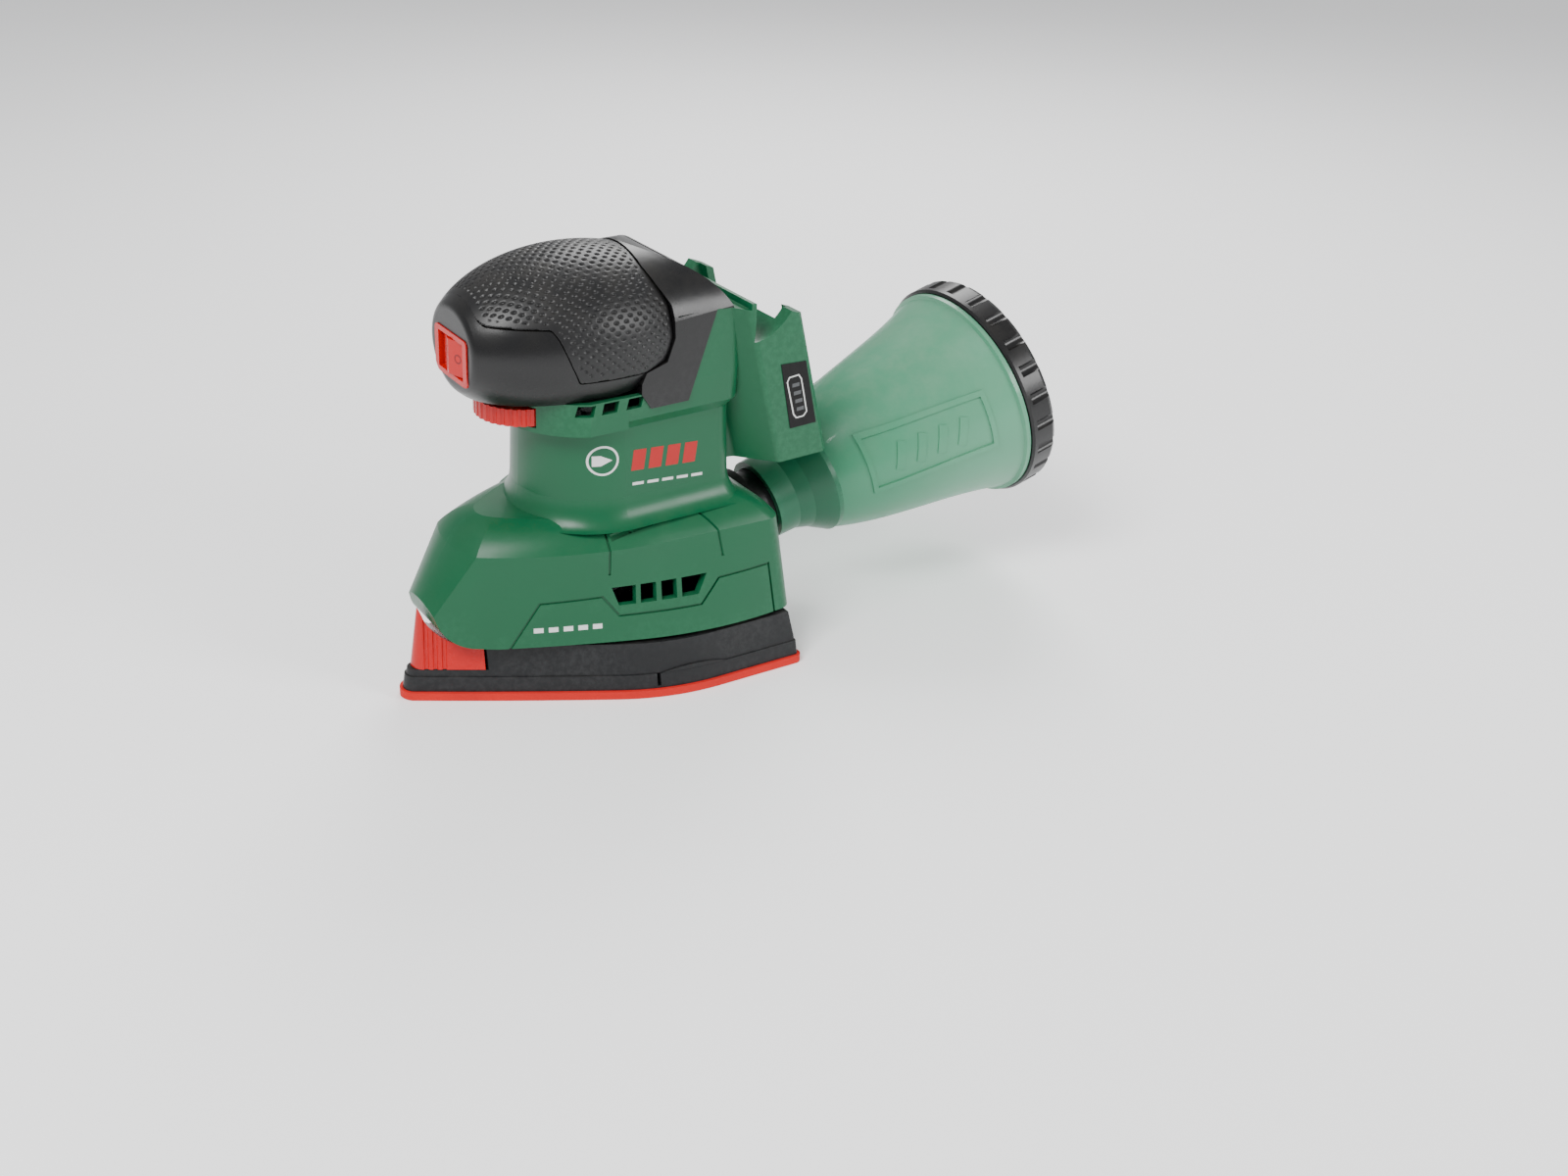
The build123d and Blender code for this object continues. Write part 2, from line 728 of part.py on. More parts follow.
with BuildPart() as switch_body:
    with Locations((0, switch_y + frame_depth + 7, switch_z)):
        Box(20, 14, 15)
    for tab in (-3, 3):
        with Locations((0, switch_y + frame_depth + 15, switch_z + tab)):
            Box(5, 5, 0.8)
save(switch_body.part, "switch_body")

# ---------------------------------------------------------------- speed dial
with BuildPart() as dial_pin:
    add(post((0, dial_centre_y), dial_pin_radius, dial_pin_bottom_z, cap_bottom_z))
save(dial_pin.part, "dial_pin")

with BuildPart() as speed_dial:
    with BuildSketch(Plane.XY.offset(dial_bottom_z)):
        with Locations((0, dial_centre_y)):
            Circle(dial_radius)
            Circle(dial_pin_radius + running_clearance, mode=Mode.SUBTRACT)
            with PolarLocations(dial_radius + 0.5, 36):
                Circle(1.0, mode=Mode.SUBTRACT)
    extrude(amount=dial_height)
save(speed_dial.part, "speed_dial")

# ---------------------------------------------------------------- motor
with BuildPart() as motor_can:
    add(ring((0, 0), motor_radius, motor_radius - 1.4, motor_bottom_z, motor_top_z))
    add(ring((0, 0), motor_radius, shaft_radius + 3, motor_bottom_z, motor_bottom_z + 1.4))
    with Locations((0, 0, motor_bottom_z + 30)):
        Box(60, 8, 7, mode=Mode.SUBTRACT)
save(motor_can.part, "motor_can")

with BuildPart() as motor_magnets:
    with BuildSketch(Plane.XY.offset(motor_bottom_z + 4)):
        Circle(motor_radius - 1.4)
        Circle(motor_radius - 5, mode=Mode.SUBTRACT)
        Rectangle(60, 9, mode=Mode.SUBTRACT)
    extrude(amount=21)
save(motor_magnets.part, "motor_magnets")

with BuildPart() as motor_end:
    add(ring((0, 0), motor_radius, upper_bearing_radius, motor_top_z, motor_end_z))
    add(ring((0, 0), upper_bearing_radius + 3, upper_bearing_radius, upper_bearing_z, motor_end_z))
    add(post((0, 0), upper_bearing_radius, motor_top_z - 10, motor_end_z + 1), mode=Mode.SUBTRACT)
save(motor_end.part, "motor_end")

with BuildPart() as upper_bearing:
    add(ring((0, 0), upper_bearing_radius, shaft_bore, upper_bearing_z, motor_end_z))
save(upper_bearing.part, "upper_bearing")

with BuildPart() as lower_bearing:
    add(ring((0, 0), bearing_outer_radius, shaft_bore, lower_bearing_z, lower_bearing_z + bearing_width))
save(lower_bearing.part, "lower_bearing")

with BuildPart() as rotor_shaft:
    add(post((0, 0), shaft_radius, eccentric_z, shaft_top_z))
    add(post((0, 0), 8.0, eccentric_z, weight_z))
    add(post(plate_axis, plate_bearing_inner_radius, pin_bottom_z, eccentric_z))
save(rotor_shaft.part, "rotor_shaft")

with BuildPart() as armature:
    with BuildSketch(Plane.XY.offset(motor_bottom_z + 5)):
        Circle(motor_radius - 5.6)
        with PolarLocations(motor_radius - 8, 5):
            SlotCenterPoint((0, 0), (4, 0), 3, mode=Mode.SUBTRACT)
        Circle(shaft_radius, mode=Mode.SUBTRACT)
    extrude(amount=19)
save(armature.part, "armature")

with BuildPart() as commutator:
    add(ring((0, 0), 5.6, shaft_radius, motor_top_z - 10, motor_top_z - 4.4))
save(commutator.part, "commutator")

with BuildPart() as brushes:
    for side in (-1, 1):
        with Locations((side * 10.4, 0, motor_top_z - 7.3)):
            Box(9, 4, 4)
save(brushes.part, "brushes")

with BuildPart() as brush_holders:
    for side in (-1, 1):
        with Locations((side * 12.4, 0, motor_top_z - 7.3)):
            Box(8, 6.4, 6)
            Box(20, 4, 4, mode=Mode.SUBTRACT)
save(brush_holders.part, "brush_holders")

with BuildPart() as fan:
    add(ring((0, 0), 6, shaft_radius, fan_z, fan_z + fan_height))
    add(ring((0, 0), fan_radius, shaft_radius, fan_z, fan_z + 1.4))
    with BuildSketch(Plane.XY.offset(fan_z + 1.4)):
        with PolarLocations(15.5, 11):
            Rectangle(17, 1.2, rotation=25)
        Circle(fan_radius, mode=Mode.INTERSECT)
    extrude(amount=fan_height - 1.4)
save(fan.part, "fan")

with BuildPart() as eccentric_weight:
    with BuildSketch(Plane.XY.offset(weight_z)):
        Circle(18)
        Rectangle(60, 36, align=(Align.CENTER, Align.MAX), mode=Mode.SUBTRACT)
        Circle(7)
        Circle(shaft_radius, mode=Mode.SUBTRACT)
    extrude(amount=weight_height)
save(eccentric_weight.part, "eccentric_weight")

# ---------------------------------------------------------------- sanding plate
with BuildPart() as plate_cutters:
    for place in dust_holes:
        add(post(place, dust_hole_radius, -1, sole_top_z + 3.5))
    for place in feet:
        add(post(place, fastener_radius + 1.6, -1, sole_top_z))

with BuildPart() as hook_pad:
    extrude(plate_outline(Plane.XY, 0), pad_top_z)
    add(plate_cutters.part, mode=Mode.SUBTRACT)
save(hook_pad.part, "hook_pad")

slit_y = 6.0
lip_front_y = 7.0
lip_rear_y = 34.0
lip_rise = 1.9

with BuildPart() as finger_lip:
    with BuildSketch(Plane.YZ.offset(-60)):
        with BuildLine():
            ThreePointArc((lip_front_y, sole_top_z), (20, sole_top_z + lip_rise), (lip_rear_y, sole_top_z))
            Polyline((lip_rear_y, sole_top_z), (lip_rear_y, sole_top_z - 1), (lip_front_y, sole_top_z - 1),
                     (lip_front_y, sole_top_z))
        make_face()
    extrude(amount=120)
    extrude(plate_outline(Plane.XY, sole_inset + 0.9), 20, mode=Mode.INTERSECT)
    extrude(plate_outline(Plane.XY, carrier_inset + 1.0), 20, mode=Mode.SUBTRACT)

with BuildPart() as flex_sole:
    extrude(plate_outline(Plane.XY.offset(pad_top_z), sole_inset), sole_height, taper=sole_draft)
    add(finger_lip.part)
    add(plate_cutters.part, mode=Mode.SUBTRACT)
    for side in (-1, 1):
        with Locations((side * 50, slit_y, pad_top_z + 5.4)):
            Box(18, 1.3, 9, mode=Mode.SUBTRACT)
save(flex_sole.part, "flex_sole")

lever_back_y = -50.8
carrier_floor = 2.6

with BuildPart() as plate_carrier:
    extrude(plate_outline(Plane.XY.offset(sole_top_z), carrier_inset), carrier_height, taper=carrier_draft)
    extrude(plate_outline(Plane.XY.offset(sole_top_z + carrier_floor), carrier_inset + plate_wall + 0.5),
            carrier_height, taper=carrier_draft, mode=Mode.SUBTRACT)
    with BuildSketch(Plane.XY.offset(sole_top_z + carrier_floor)):
        with Locations(plate_axis):
            with PolarLocations(0, 8, start_angle=15):
                Rectangle(64, 1.6, align=(Align.MIN, Align.CENTER))
        with Locations((0, lever_back_y)):
            Rectangle(60, plate_wall, align=(Align.CENTER, Align.MIN))
        add(plate_outline(Plane.XY, carrier_inset + 1.6), mode=Mode.INTERSECT)
        for place in feet + dust_holes:
            with Locations(place):
                Circle(foot_post_radius, mode=Mode.SUBTRACT)
    extrude(amount=5.5)
    bearing_top_z = plate_bearing_z + plate_bearing_width
    below_bearing = plate_bearing_inner_radius + 3
    add(post(plate_axis, plate_bearing_outer_radius + 3, sole_top_z, bearing_top_z))
    add(post(plate_axis, plate_bearing_outer_radius, plate_bearing_z, bearing_top_z + 1), mode=Mode.SUBTRACT)
    add(post(plate_axis, below_bearing, pin_bottom_z - 1, plate_bearing_z), mode=Mode.SUBTRACT)
    add(plate_cutters.part, mode=Mode.SUBTRACT)
    add(finger_lip.part, mode=Mode.SUBTRACT)
    for place in feet:
        add(post(place, fastener_radius, sole_top_z - 1, sole_top_z + 4), mode=Mode.SUBTRACT)
    with Locations((0, lever_back_y, sole_top_z + carrier_floor)):
        Box(80, 60, 20, align=(Align.CENTER, Align.MAX, Align.MIN), mode=Mode.SUBTRACT)
save(plate_carrier.part, "plate_carrier")

with BuildPart() as plate_screws:
    for place in feet:
        add(post(place, fastener_radius + 1.2, sole_top_z - 2.4, sole_top_z))
        add(post(place, fastener_radius, sole_top_z, foot_post_z - 6))
save(plate_screws.part, "plate_screws")

with BuildPart() as rubber_feet:
    for place in feet:
        add(ring(place, rubber_radius, fastener_radius, sole_top_z + carrier_floor, foot_post_z))
save(rubber_feet.part, "rubber_feet")

with BuildPart() as plate_bearing:
    add(ring(plate_axis, plate_bearing_outer_radius, plate_bearing_inner_radius + running_clearance,
             plate_bearing_z, plate_bearing_z + plate_bearing_width))
save(plate_bearing.part, "plate_bearing")

# the nose lever stands on the carrier's floor and leans back a little
lever_bottom_z = sole_top_z + carrier_floor + clearance
lever_nose_y = -75.2
lever_draft = 7.4
lever_side = 28.8           # degrees between the lever's flanks and the middle plane
lever_corner = (4.6, lever_nose_y + 2.4)
flank_x = sin(radians(lever_side))
flank_y = cos(radians(lever_side))
lever_end = (lever_corner[0] + 40 * flank_x, lever_corner[1] + 40 * flank_y)
rib_pitch = 3.4
rib_radius = 1.0

with BuildPart() as nose_lever:
    with BuildSketch(Plane.XY.offset(lever_bottom_z)):
        with BuildLine():
            ThreePointArc((0, lever_nose_y), (2.7, lever_nose_y + 0.75), lever_corner)
            Polyline(lever_corner, lever_end, (0, lever_end[1]))
            mirror(about=Plane.YZ)
        make_face()
    extrude(amount=24, taper=lever_draft)
    for side in (-1, 1):
        for step in range(3):
            along = 1.6 + rib_pitch * step
            outward = Vector(side * flank_y, -flank_x, 0)
            foot = Vector(side * (lever_corner[0] + along * flank_x), lever_corner[1] + along * flank_y,
                          lever_bottom_z) + outward * 0.4
            up = Vector(0, 0, cos(radians(lever_draft))) - outward * sin(radians(lever_draft))
            with Locations(Plane(origin=foot, z_dir=up)):
                Cylinder(rib_radius, 60, mode=Mode.SUBTRACT)
    with Locations((0, lever_back_y - 1.2, 0)):
        Box(100, 160, 80, align=(Align.CENTER, Align.MIN, Align.MIN), mode=Mode.SUBTRACT)
    add(nose_cut(plate_travel + clearance), mode=Mode.INTERSECT)
save(nose_lever.part, "nose_lever")

# ---------------------------------------------------------------- dust port and dust box
port_start = -14.0
seal_end = 6.0
seal_radius = port_outer_radius + 3.6
with BuildPart() as dust_port:
    add(dust_revolve([(port_outer_radius - port_wall, port_start), (port_outer_radius, port_start),
                      (port_outer_radius, port_length), (port_outer_radius - port_wall, port_length)]))
save(dust_port.part, "dust_port")

with BuildPart() as port_seal:
    add(dust_revolve([(port_outer_radius, -3), (seal_radius, -3), (seal_radius, seal_end),
                      (port_outer_radius, seal_end)]))
    add(skirt_solid(0), mode=Mode.SUBTRACT)
save(port_seal.part, "port_seal")

adapter_bore = port_outer_radius + clearance
adapter_end = dust_body_start + 5
body_bore = dust_body_start_radius - dust_wall
with BuildPart() as dust_adapter:
    add(dust_revolve([
        (adapter_bore, dust_neck_start), (adapter_bore + 2.7, dust_neck_start), (adapter_bore + 3.1, 22),
        (adapter_bore + 5.3, 28), (dust_body_start_radius, dust_body_start + 3),
        (dust_body_start_radius, adapter_end), (body_bore, adapter_end), (body_bore, dust_body_start + 3.4),
        (adapter_bore + 3.5, 28.8), (adapter_bore, 26),
    ]))
save(dust_adapter.part, "dust_adapter")

flange_start = dust_body_end - 2.6
flange_radius = dust_body_end_radius + 1.4
middle_radius = dust_body_start_radius + 10.0
late_radius = dust_body_start_radius + 14.0

with BuildPart() as dust_body_turned:
    with BuildSketch(Plane.XZ):
        with BuildLine():
            outer = Spline((dust_body_start_radius, adapter_end), (middle_radius, 77), (late_radius, 97),
                           (dust_body_end_radius, flange_start))
            Polyline(outer @ 1, (flange_radius, flange_start + 0.6), (flange_radius, dust_body_end),
                     (dust_body_end_radius - dust_wall, dust_body_end))
            Spline((dust_body_end_radius - dust_wall, dust_body_end), (late_radius - dust_wall, 97),
                   (middle_radius - dust_wall, 77), (body_bore, adapter_end))
            Line((body_bore, adapter_end), (dust_body_start_radius, adapter_end))
        make_face()
    revolve(axis=Axis.Z)
dust_body = dust_plane.location * dust_body_turned.part
save(dust_body, "dust_body")

filter_length = 41.0
filter_start = dust_body_end - filter_length
filter_radius = 30.0
filter_core_radius = 23.6
frame_start = dust_body_end + clearance
frame_end = dust_body_end + 2.3
frame_radius = dust_body_end_radius - dust_wall - 0.1
pleats = 40
pleat_depth = 3.5
with BuildPart() as filter_frame:
    add(dust_revolve([(24, frame_start), (frame_radius, frame_start), (frame_radius, frame_end),
                      (24, frame_end)]))
    add(dust_revolve([(0, filter_start), (filter_radius, filter_start), (filter_radius, filter_start + 2),
                      (0, filter_start + 2)]))
    add(dust_revolve([(filter_core_radius - 1.2, filter_start), (filter_core_radius, filter_start),
                      (filter_core_radius, frame_end), (filter_core_radius - 1.2, frame_end)]))
    add(dust_revolve([(0, dust_body_end + 1), (36, dust_body_end + 1), (36, frame_end), (0, frame_end)]))
save(filter_frame.part, "filter_frame")

with BuildPart() as filter_paper:
    with BuildSketch(dust_plane.offset(filter_start + 2)):
        with BuildLine():
            corners = []
            for corner in range(2 * pleats):
                reach = filter_radius - (0 if corner % 2 else pleat_depth)
                turn = radians(180 / pleats * corner)
                corners.append((reach * cos(turn), reach * sin(turn)))
            Polyline(*corners, close=True)
        make_face()
        Circle(filter_core_radius, mode=Mode.SUBTRACT)
    extrude(amount=frame_start - filter_start - 2)
save(filter_paper.part, "filter_paper")

ring_start = dust_body_end + clearance
ring_end = ring_start + lock_ring_width
lock_ring_radius = dust_body_end_radius + lock_ring_rim
ring_seat_radius = frame_radius + 0.5
ring_mouth_radius = dust_body_end_radius - 6.4
ring_notches = 24
notch_radius = 2.6
with BuildPart() as lock_ring:
    add(dust_revolve([
        (ring_seat_radius, ring_start), (lock_ring_radius - 0.8, ring_start),
        (lock_ring_radius, ring_start + 0.8), (lock_ring_radius, ring_end - 2.2),
        (lock_ring_radius - 0.8, ring_end - 0.7), (lock_ring_radius - 2.4, ring_end),
        (ring_mouth_radius, ring_end), (ring_mouth_radius, ring_start + 2.6),
        (ring_seat_radius, ring_start + 2.6),
    ]))
    with Locations(dust_plane.offset(ring_start + 2.4)):
        with PolarLocations(lock_ring_radius + 1.0, ring_notches):
            Cylinder(notch_radius, lock_ring_width, mode=Mode.SUBTRACT,
                     align=(Align.CENTER, Align.CENTER, Align.MIN))
save(lock_ring.part, "lock_ring")

# ---------------------------------------------------------------- electronics and rail contacts
terminal_places = [(across, -pocket_depth + 1.5) for across in (-12, -6, 6, 12)]
with BuildPart() as terminal_holder:
    with BuildSketch(foot_plane.offset(14)):
        with Locations((0, -pocket_depth)):
            Rectangle(40, 5, align=(Align.CENTER, Align.MIN))
        with Locations(terminal_places):
            Rectangle(1.4, 6, align=(Align.CENTER, Align.MIN), mode=Mode.SUBTRACT)
    extrude(amount=20)
save(terminal_holder.part, "terminal_holder")

with BuildPart() as terminals:
    with BuildSketch(foot_plane.offset(16)):
        with Locations(terminal_places):
            Rectangle(0.8, 4.5, align=(Align.CENTER, Align.MIN))
    extrude(amount=16)
save(terminals.part, "terminals")

board_back = -pocket_depth - wall
with BuildPart() as control_board:
    with BuildSketch(foot_plane.offset(12)):
        with Locations((0, board_back - 3)):
            Rectangle(50, 1.6, align=(Align.CENTER, Align.MAX))
    extrude(amount=36)
    with BuildSketch(foot_plane.offset(14)):
        with Locations((-21, board_back), (21, board_back)):
            Rectangle(4, 3, align=(Align.CENTER, Align.MAX))
    extrude(amount=30)
save(control_board.part, "control_board")

with BuildPart() as foot_labels:
    for side in (-1, 1):
        with BuildSketch(Plane.YZ.offset(side * (foot_half_width + 0.15))):
            with BuildLine():
                Polyline((61.7, 119.7), (72.7, 119.3), (78.7, 93.6), (67.1, 93.2), close=True)
            make_face()
        extrude(amount=0.15, both=True)
save(foot_labels.part, "foot_labels")
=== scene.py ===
import json
import math
import bmesh
import bpy
import numpy as np
from mathutils import Matrix, Vector
from mathutils.bvhtree import BVHTree


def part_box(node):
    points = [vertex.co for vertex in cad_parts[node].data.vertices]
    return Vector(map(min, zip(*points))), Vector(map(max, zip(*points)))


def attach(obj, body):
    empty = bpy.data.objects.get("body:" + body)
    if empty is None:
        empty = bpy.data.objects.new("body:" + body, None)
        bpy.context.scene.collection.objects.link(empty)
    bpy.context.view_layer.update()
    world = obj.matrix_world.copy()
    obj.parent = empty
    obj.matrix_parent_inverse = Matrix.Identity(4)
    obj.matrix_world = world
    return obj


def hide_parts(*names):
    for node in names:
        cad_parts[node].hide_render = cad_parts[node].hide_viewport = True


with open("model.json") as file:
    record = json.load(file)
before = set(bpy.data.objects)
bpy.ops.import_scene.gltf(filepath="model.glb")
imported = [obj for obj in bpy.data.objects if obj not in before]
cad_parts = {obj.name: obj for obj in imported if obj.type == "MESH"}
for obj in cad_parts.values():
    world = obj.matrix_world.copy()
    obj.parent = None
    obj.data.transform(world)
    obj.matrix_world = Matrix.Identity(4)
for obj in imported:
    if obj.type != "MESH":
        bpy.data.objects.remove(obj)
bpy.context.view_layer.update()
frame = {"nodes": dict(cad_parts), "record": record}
nodes = frame["nodes"]
MM = 0.001


def linear(r, g, b, a=1.0):
    """An sRGB colour given as 0 to 255, as linear values."""
    def one(v):
        v = v / 255
        return v / 12.92 if v <= 0.04045 else ((v + 0.055) / 1.055) ** 2.4
    return (one(r), one(g), one(b), a)


# ------------------------------------------------------------------ shader node groups
def new_group(name, inputs, outputs):
    """An empty shader group with named sockets: inputs are (name, type, default)."""
    tree = bpy.data.node_groups.new(name, "ShaderNodeTree")
    for label, kind, default in inputs:
        socket = tree.interface.new_socket(label, in_out="INPUT", socket_type=kind)
        if default is not None:
            socket.default_value = default
    for label, kind in outputs:
        tree.interface.new_socket(label, in_out="OUTPUT", socket_type=kind)
    return tree, tree.nodes.new("NodeGroupInput"), tree.nodes.new("NodeGroupOutput")


def node(tree, kind, values=None, **settings):
    """A node with its settings and the unlinked inputs it starts with."""
    made = tree.nodes.new(kind)
    for key, value in settings.items():
        setattr(made, key, value)
    for key, value in (values or {}).items():
        made.inputs[key].default_value = value
    return made


def maths(tree, operation, a, b=None, clamp=False):
    """A math node; a and b are sockets or numbers."""
    made = node(tree, "ShaderNodeMath", operation=operation, use_clamp=clamp)
    for index, value in enumerate((a, b)):
        if value is None:
            continue
        if isinstance(value, (int, float)):
            made.inputs[index].default_value = value
        else:
            tree.links.new(value, made.inputs[index])
    return made.outputs[0]


def group_grain():
    """Spark-eroded grain of moulded plastic: a height and a slow variation."""
    tree, start, end = new_group(
        "moulded_grain",
        [("Vector", "NodeSocketVector", None), ("Scale", "NodeSocketFloat", 1.0),
         ("Mottle", "NodeSocketFloat", 1.0)],
        [("Height", "NodeSocketFloat"), ("Variation", "NodeSocketFloat")],
    )
    link = tree.links.new
    fine = node(tree, "ShaderNodeTexNoise", {"Detail": 3.0, "Roughness": 0.6})
    cells = node(tree, "ShaderNodeTexVoronoi", {"Randomness": 1.0}, feature="F1")
    slow = node(tree, "ShaderNodeTexNoise", {"Detail": 4.0, "Roughness": 0.55})
    link(start.outputs["Vector"], fine.inputs["Vector"])
    link(start.outputs["Vector"], cells.inputs["Vector"])
    link(start.outputs["Vector"], slow.inputs["Vector"])
    link(maths(tree, "MULTIPLY", start.outputs["Scale"], 3800.0), fine.inputs["Scale"])
    link(maths(tree, "MULTIPLY", start.outputs["Scale"], 2200.0), cells.inputs["Scale"])
    link(maths(tree, "MULTIPLY", start.outputs["Mottle"], 55.0), slow.inputs["Scale"])
    both = maths(tree, "ADD", maths(tree, "MULTIPLY", fine.outputs["Fac"], 0.6),
                 maths(tree, "MULTIPLY", cells.outputs["Distance"], 0.4))
    link(both, end.inputs["Height"])
    link(slow.outputs["Fac"], end.inputs["Variation"])
    return tree


def group_wear():
    """Rubbed edges and fine scratches as masks between 0 and 1."""
    tree, start, end = new_group(
        "handling_wear",
        [("Vector", "NodeSocketVector", None), ("Edge", "NodeSocketFloat", 0.5),
         ("Scratch", "NodeSocketFloat", 0.4)],
        [("Edge Mask", "NodeSocketFloat"), ("Scratch Mask", "NodeSocketFloat")],
    )
    link = tree.links.new
    shape = node(tree, "ShaderNodeNewGeometry")
    sharp = node(tree, "ShaderNodeMapRange",
                 {"From Min": 0.53, "From Max": 0.62, "To Min": 0.0, "To Max": 1.0})
    link(shape.outputs["Pointiness"], sharp.inputs["Value"])
    broken = node(tree, "ShaderNodeTexNoise", {"Scale": 420.0, "Detail": 5.0, "Roughness": 0.7})
    link(start.outputs["Vector"], broken.inputs["Vector"])
    patches = node(tree, "ShaderNodeMapRange", {"From Min": 0.42, "From Max": 0.62})
    link(broken.outputs["Fac"], patches.inputs["Value"])
    edge = maths(tree, "MULTIPLY", sharp.outputs["Result"], patches.outputs["Result"])
    link(maths(tree, "MULTIPLY", edge, start.outputs["Edge"], True), end.inputs["Edge Mask"])
    stretched = node(tree, "ShaderNodeMapping", {"Scale": (40.0, 900.0, 260.0), "Rotation": (0.5, 0.2, 0.9)})
    link(start.outputs["Vector"], stretched.inputs["Vector"])
    lines = node(tree, "ShaderNodeTexNoise", {"Scale": 3.0, "Detail": 2.0, "Roughness": 0.5})
    link(stretched.outputs["Vector"], lines.inputs["Vector"])
    thin = node(tree, "ShaderNodeMapRange", {"From Min": 0.66, "From Max": 0.72})
    link(lines.outputs["Fac"], thin.inputs["Value"])
    link(maths(tree, "MULTIPLY", thin.outputs["Result"], start.outputs["Scratch"], True),
         end.inputs["Scratch Mask"])
    return tree


def group_dust():
    """Fine sanding dust that settles on faces that look up, as a mask."""
    tree, start, end = new_group(
        "settled_dust",
        [("Vector", "NodeSocketVector", None), ("Amount", "NodeSocketFloat", 0.15)],
        [("Mask", "NodeSocketFloat")],
    )
    link = tree.links.new
    where = node(tree, "ShaderNodeTexCoord")
    parts = node(tree, "ShaderNodeSeparateXYZ")
    link(where.outputs["Normal"], parts.inputs["Vector"])
    up = node(tree, "ShaderNodeMapRange", {"From Min": 0.1, "From Max": 1.0})
    link(parts.outputs["Z"], up.inputs["Value"])
    clouds = node(tree, "ShaderNodeTexNoise", {"Scale": 90.0, "Detail": 6.0, "Roughness": 0.65})
    link(start.outputs["Vector"], clouds.inputs["Vector"])
    thick = node(tree, "ShaderNodeMapRange", {"From Min": 0.4, "From Max": 0.75})
    link(clouds.outputs["Fac"], thick.inputs["Value"])
    both = maths(tree, "MULTIPLY", up.outputs["Result"], thick.outputs["Result"])
    link(maths(tree, "MULTIPLY", both, start.outputs["Amount"], True), end.inputs["Mask"])
    return tree


GRAIN = group_grain()
WEAR = group_wear()
DUST = group_dust()


def mix_colour(tree, mask, a, b):
    """b over a by mask; a and b are sockets or colours."""
    made = node(tree, "ShaderNodeMix", data_type="RGBA")
    for index, value in ((0, mask), (6, a), (7, b)):
        if isinstance(value, (int, float, tuple)):
            made.inputs[index].default_value = value
        else:
            tree.links.new(value, made.inputs[index])
    return made.outputs[2]


WOOD_DUST = linear(186, 176, 158)
ROUGH_SPREAD = 0.12  # how far the roughness of a plastic wanders over its surface


def moulded(name, colour, rough=0.42, grain=1.0, bump=0.18, dust=0.1, edge=0.4, coat=0.0,
            vary=0.08, shine=0.4):
    """A moulded plastic or rubber with grain, slow colour variation, rubbed edges and a little dust."""
    material = bpy.data.materials.new(name)
    material.use_nodes = True
    tree = material.node_tree
    link = tree.links.new
    surface = tree.nodes["Principled BSDF"]
    place = node(tree, "ShaderNodeTexCoord")
    texture = node(tree, "ShaderNodeGroup", node_tree=GRAIN)
    texture.inputs["Scale"].default_value = grain
    link(place.outputs["Object"], texture.inputs["Vector"])
    wear = node(tree, "ShaderNodeGroup", node_tree=WEAR)
    wear.inputs["Edge"].default_value = edge
    link(place.outputs["Object"], wear.inputs["Vector"])
    film = node(tree, "ShaderNodeGroup", node_tree=DUST)
    film.inputs["Amount"].default_value = dust
    link(place.outputs["Object"], film.inputs["Vector"])
    dark = tuple(c * (1 - vary) for c in colour[:3]) + (1.0,)
    light = tuple(min(1.0, c * (1 + vary)) for c in colour[:3]) + (1.0,)
    base = mix_colour(tree, texture.outputs["Variation"], dark, light)
    rubbed = tuple(min(1.0, c * 1.6 + 0.02) for c in colour[:3]) + (1.0,)
    base = mix_colour(tree, wear.outputs["Edge Mask"], base, rubbed)
    base = mix_colour(tree, film.outputs["Mask"], base, WOOD_DUST)
    link(base, surface.inputs["Base Color"])
    level = maths(tree, "MULTIPLY", texture.outputs["Variation"], ROUGH_SPREAD)
    level = maths(tree, "ADD", level, rough - ROUGH_SPREAD / 2)
    level = maths(tree, "SUBTRACT", level, maths(tree, "MULTIPLY", wear.outputs["Scratch Mask"], 0.08))
    level = maths(tree, "ADD", level, maths(tree, "MULTIPLY", film.outputs["Mask"], 0.5), True)
    link(level, surface.inputs["Roughness"])
    raised = node(tree, "ShaderNodeBump", {"Strength": bump, "Distance": 0.0001})
    link(texture.outputs["Height"], raised.inputs["Height"])
    link(raised.outputs["Normal"], surface.inputs["Normal"])
    surface.inputs["Coat Weight"].default_value = coat
    surface.inputs["Coat Roughness"].default_value = 0.12
    surface.inputs["Specular IOR Level"].default_value = shine
    return material


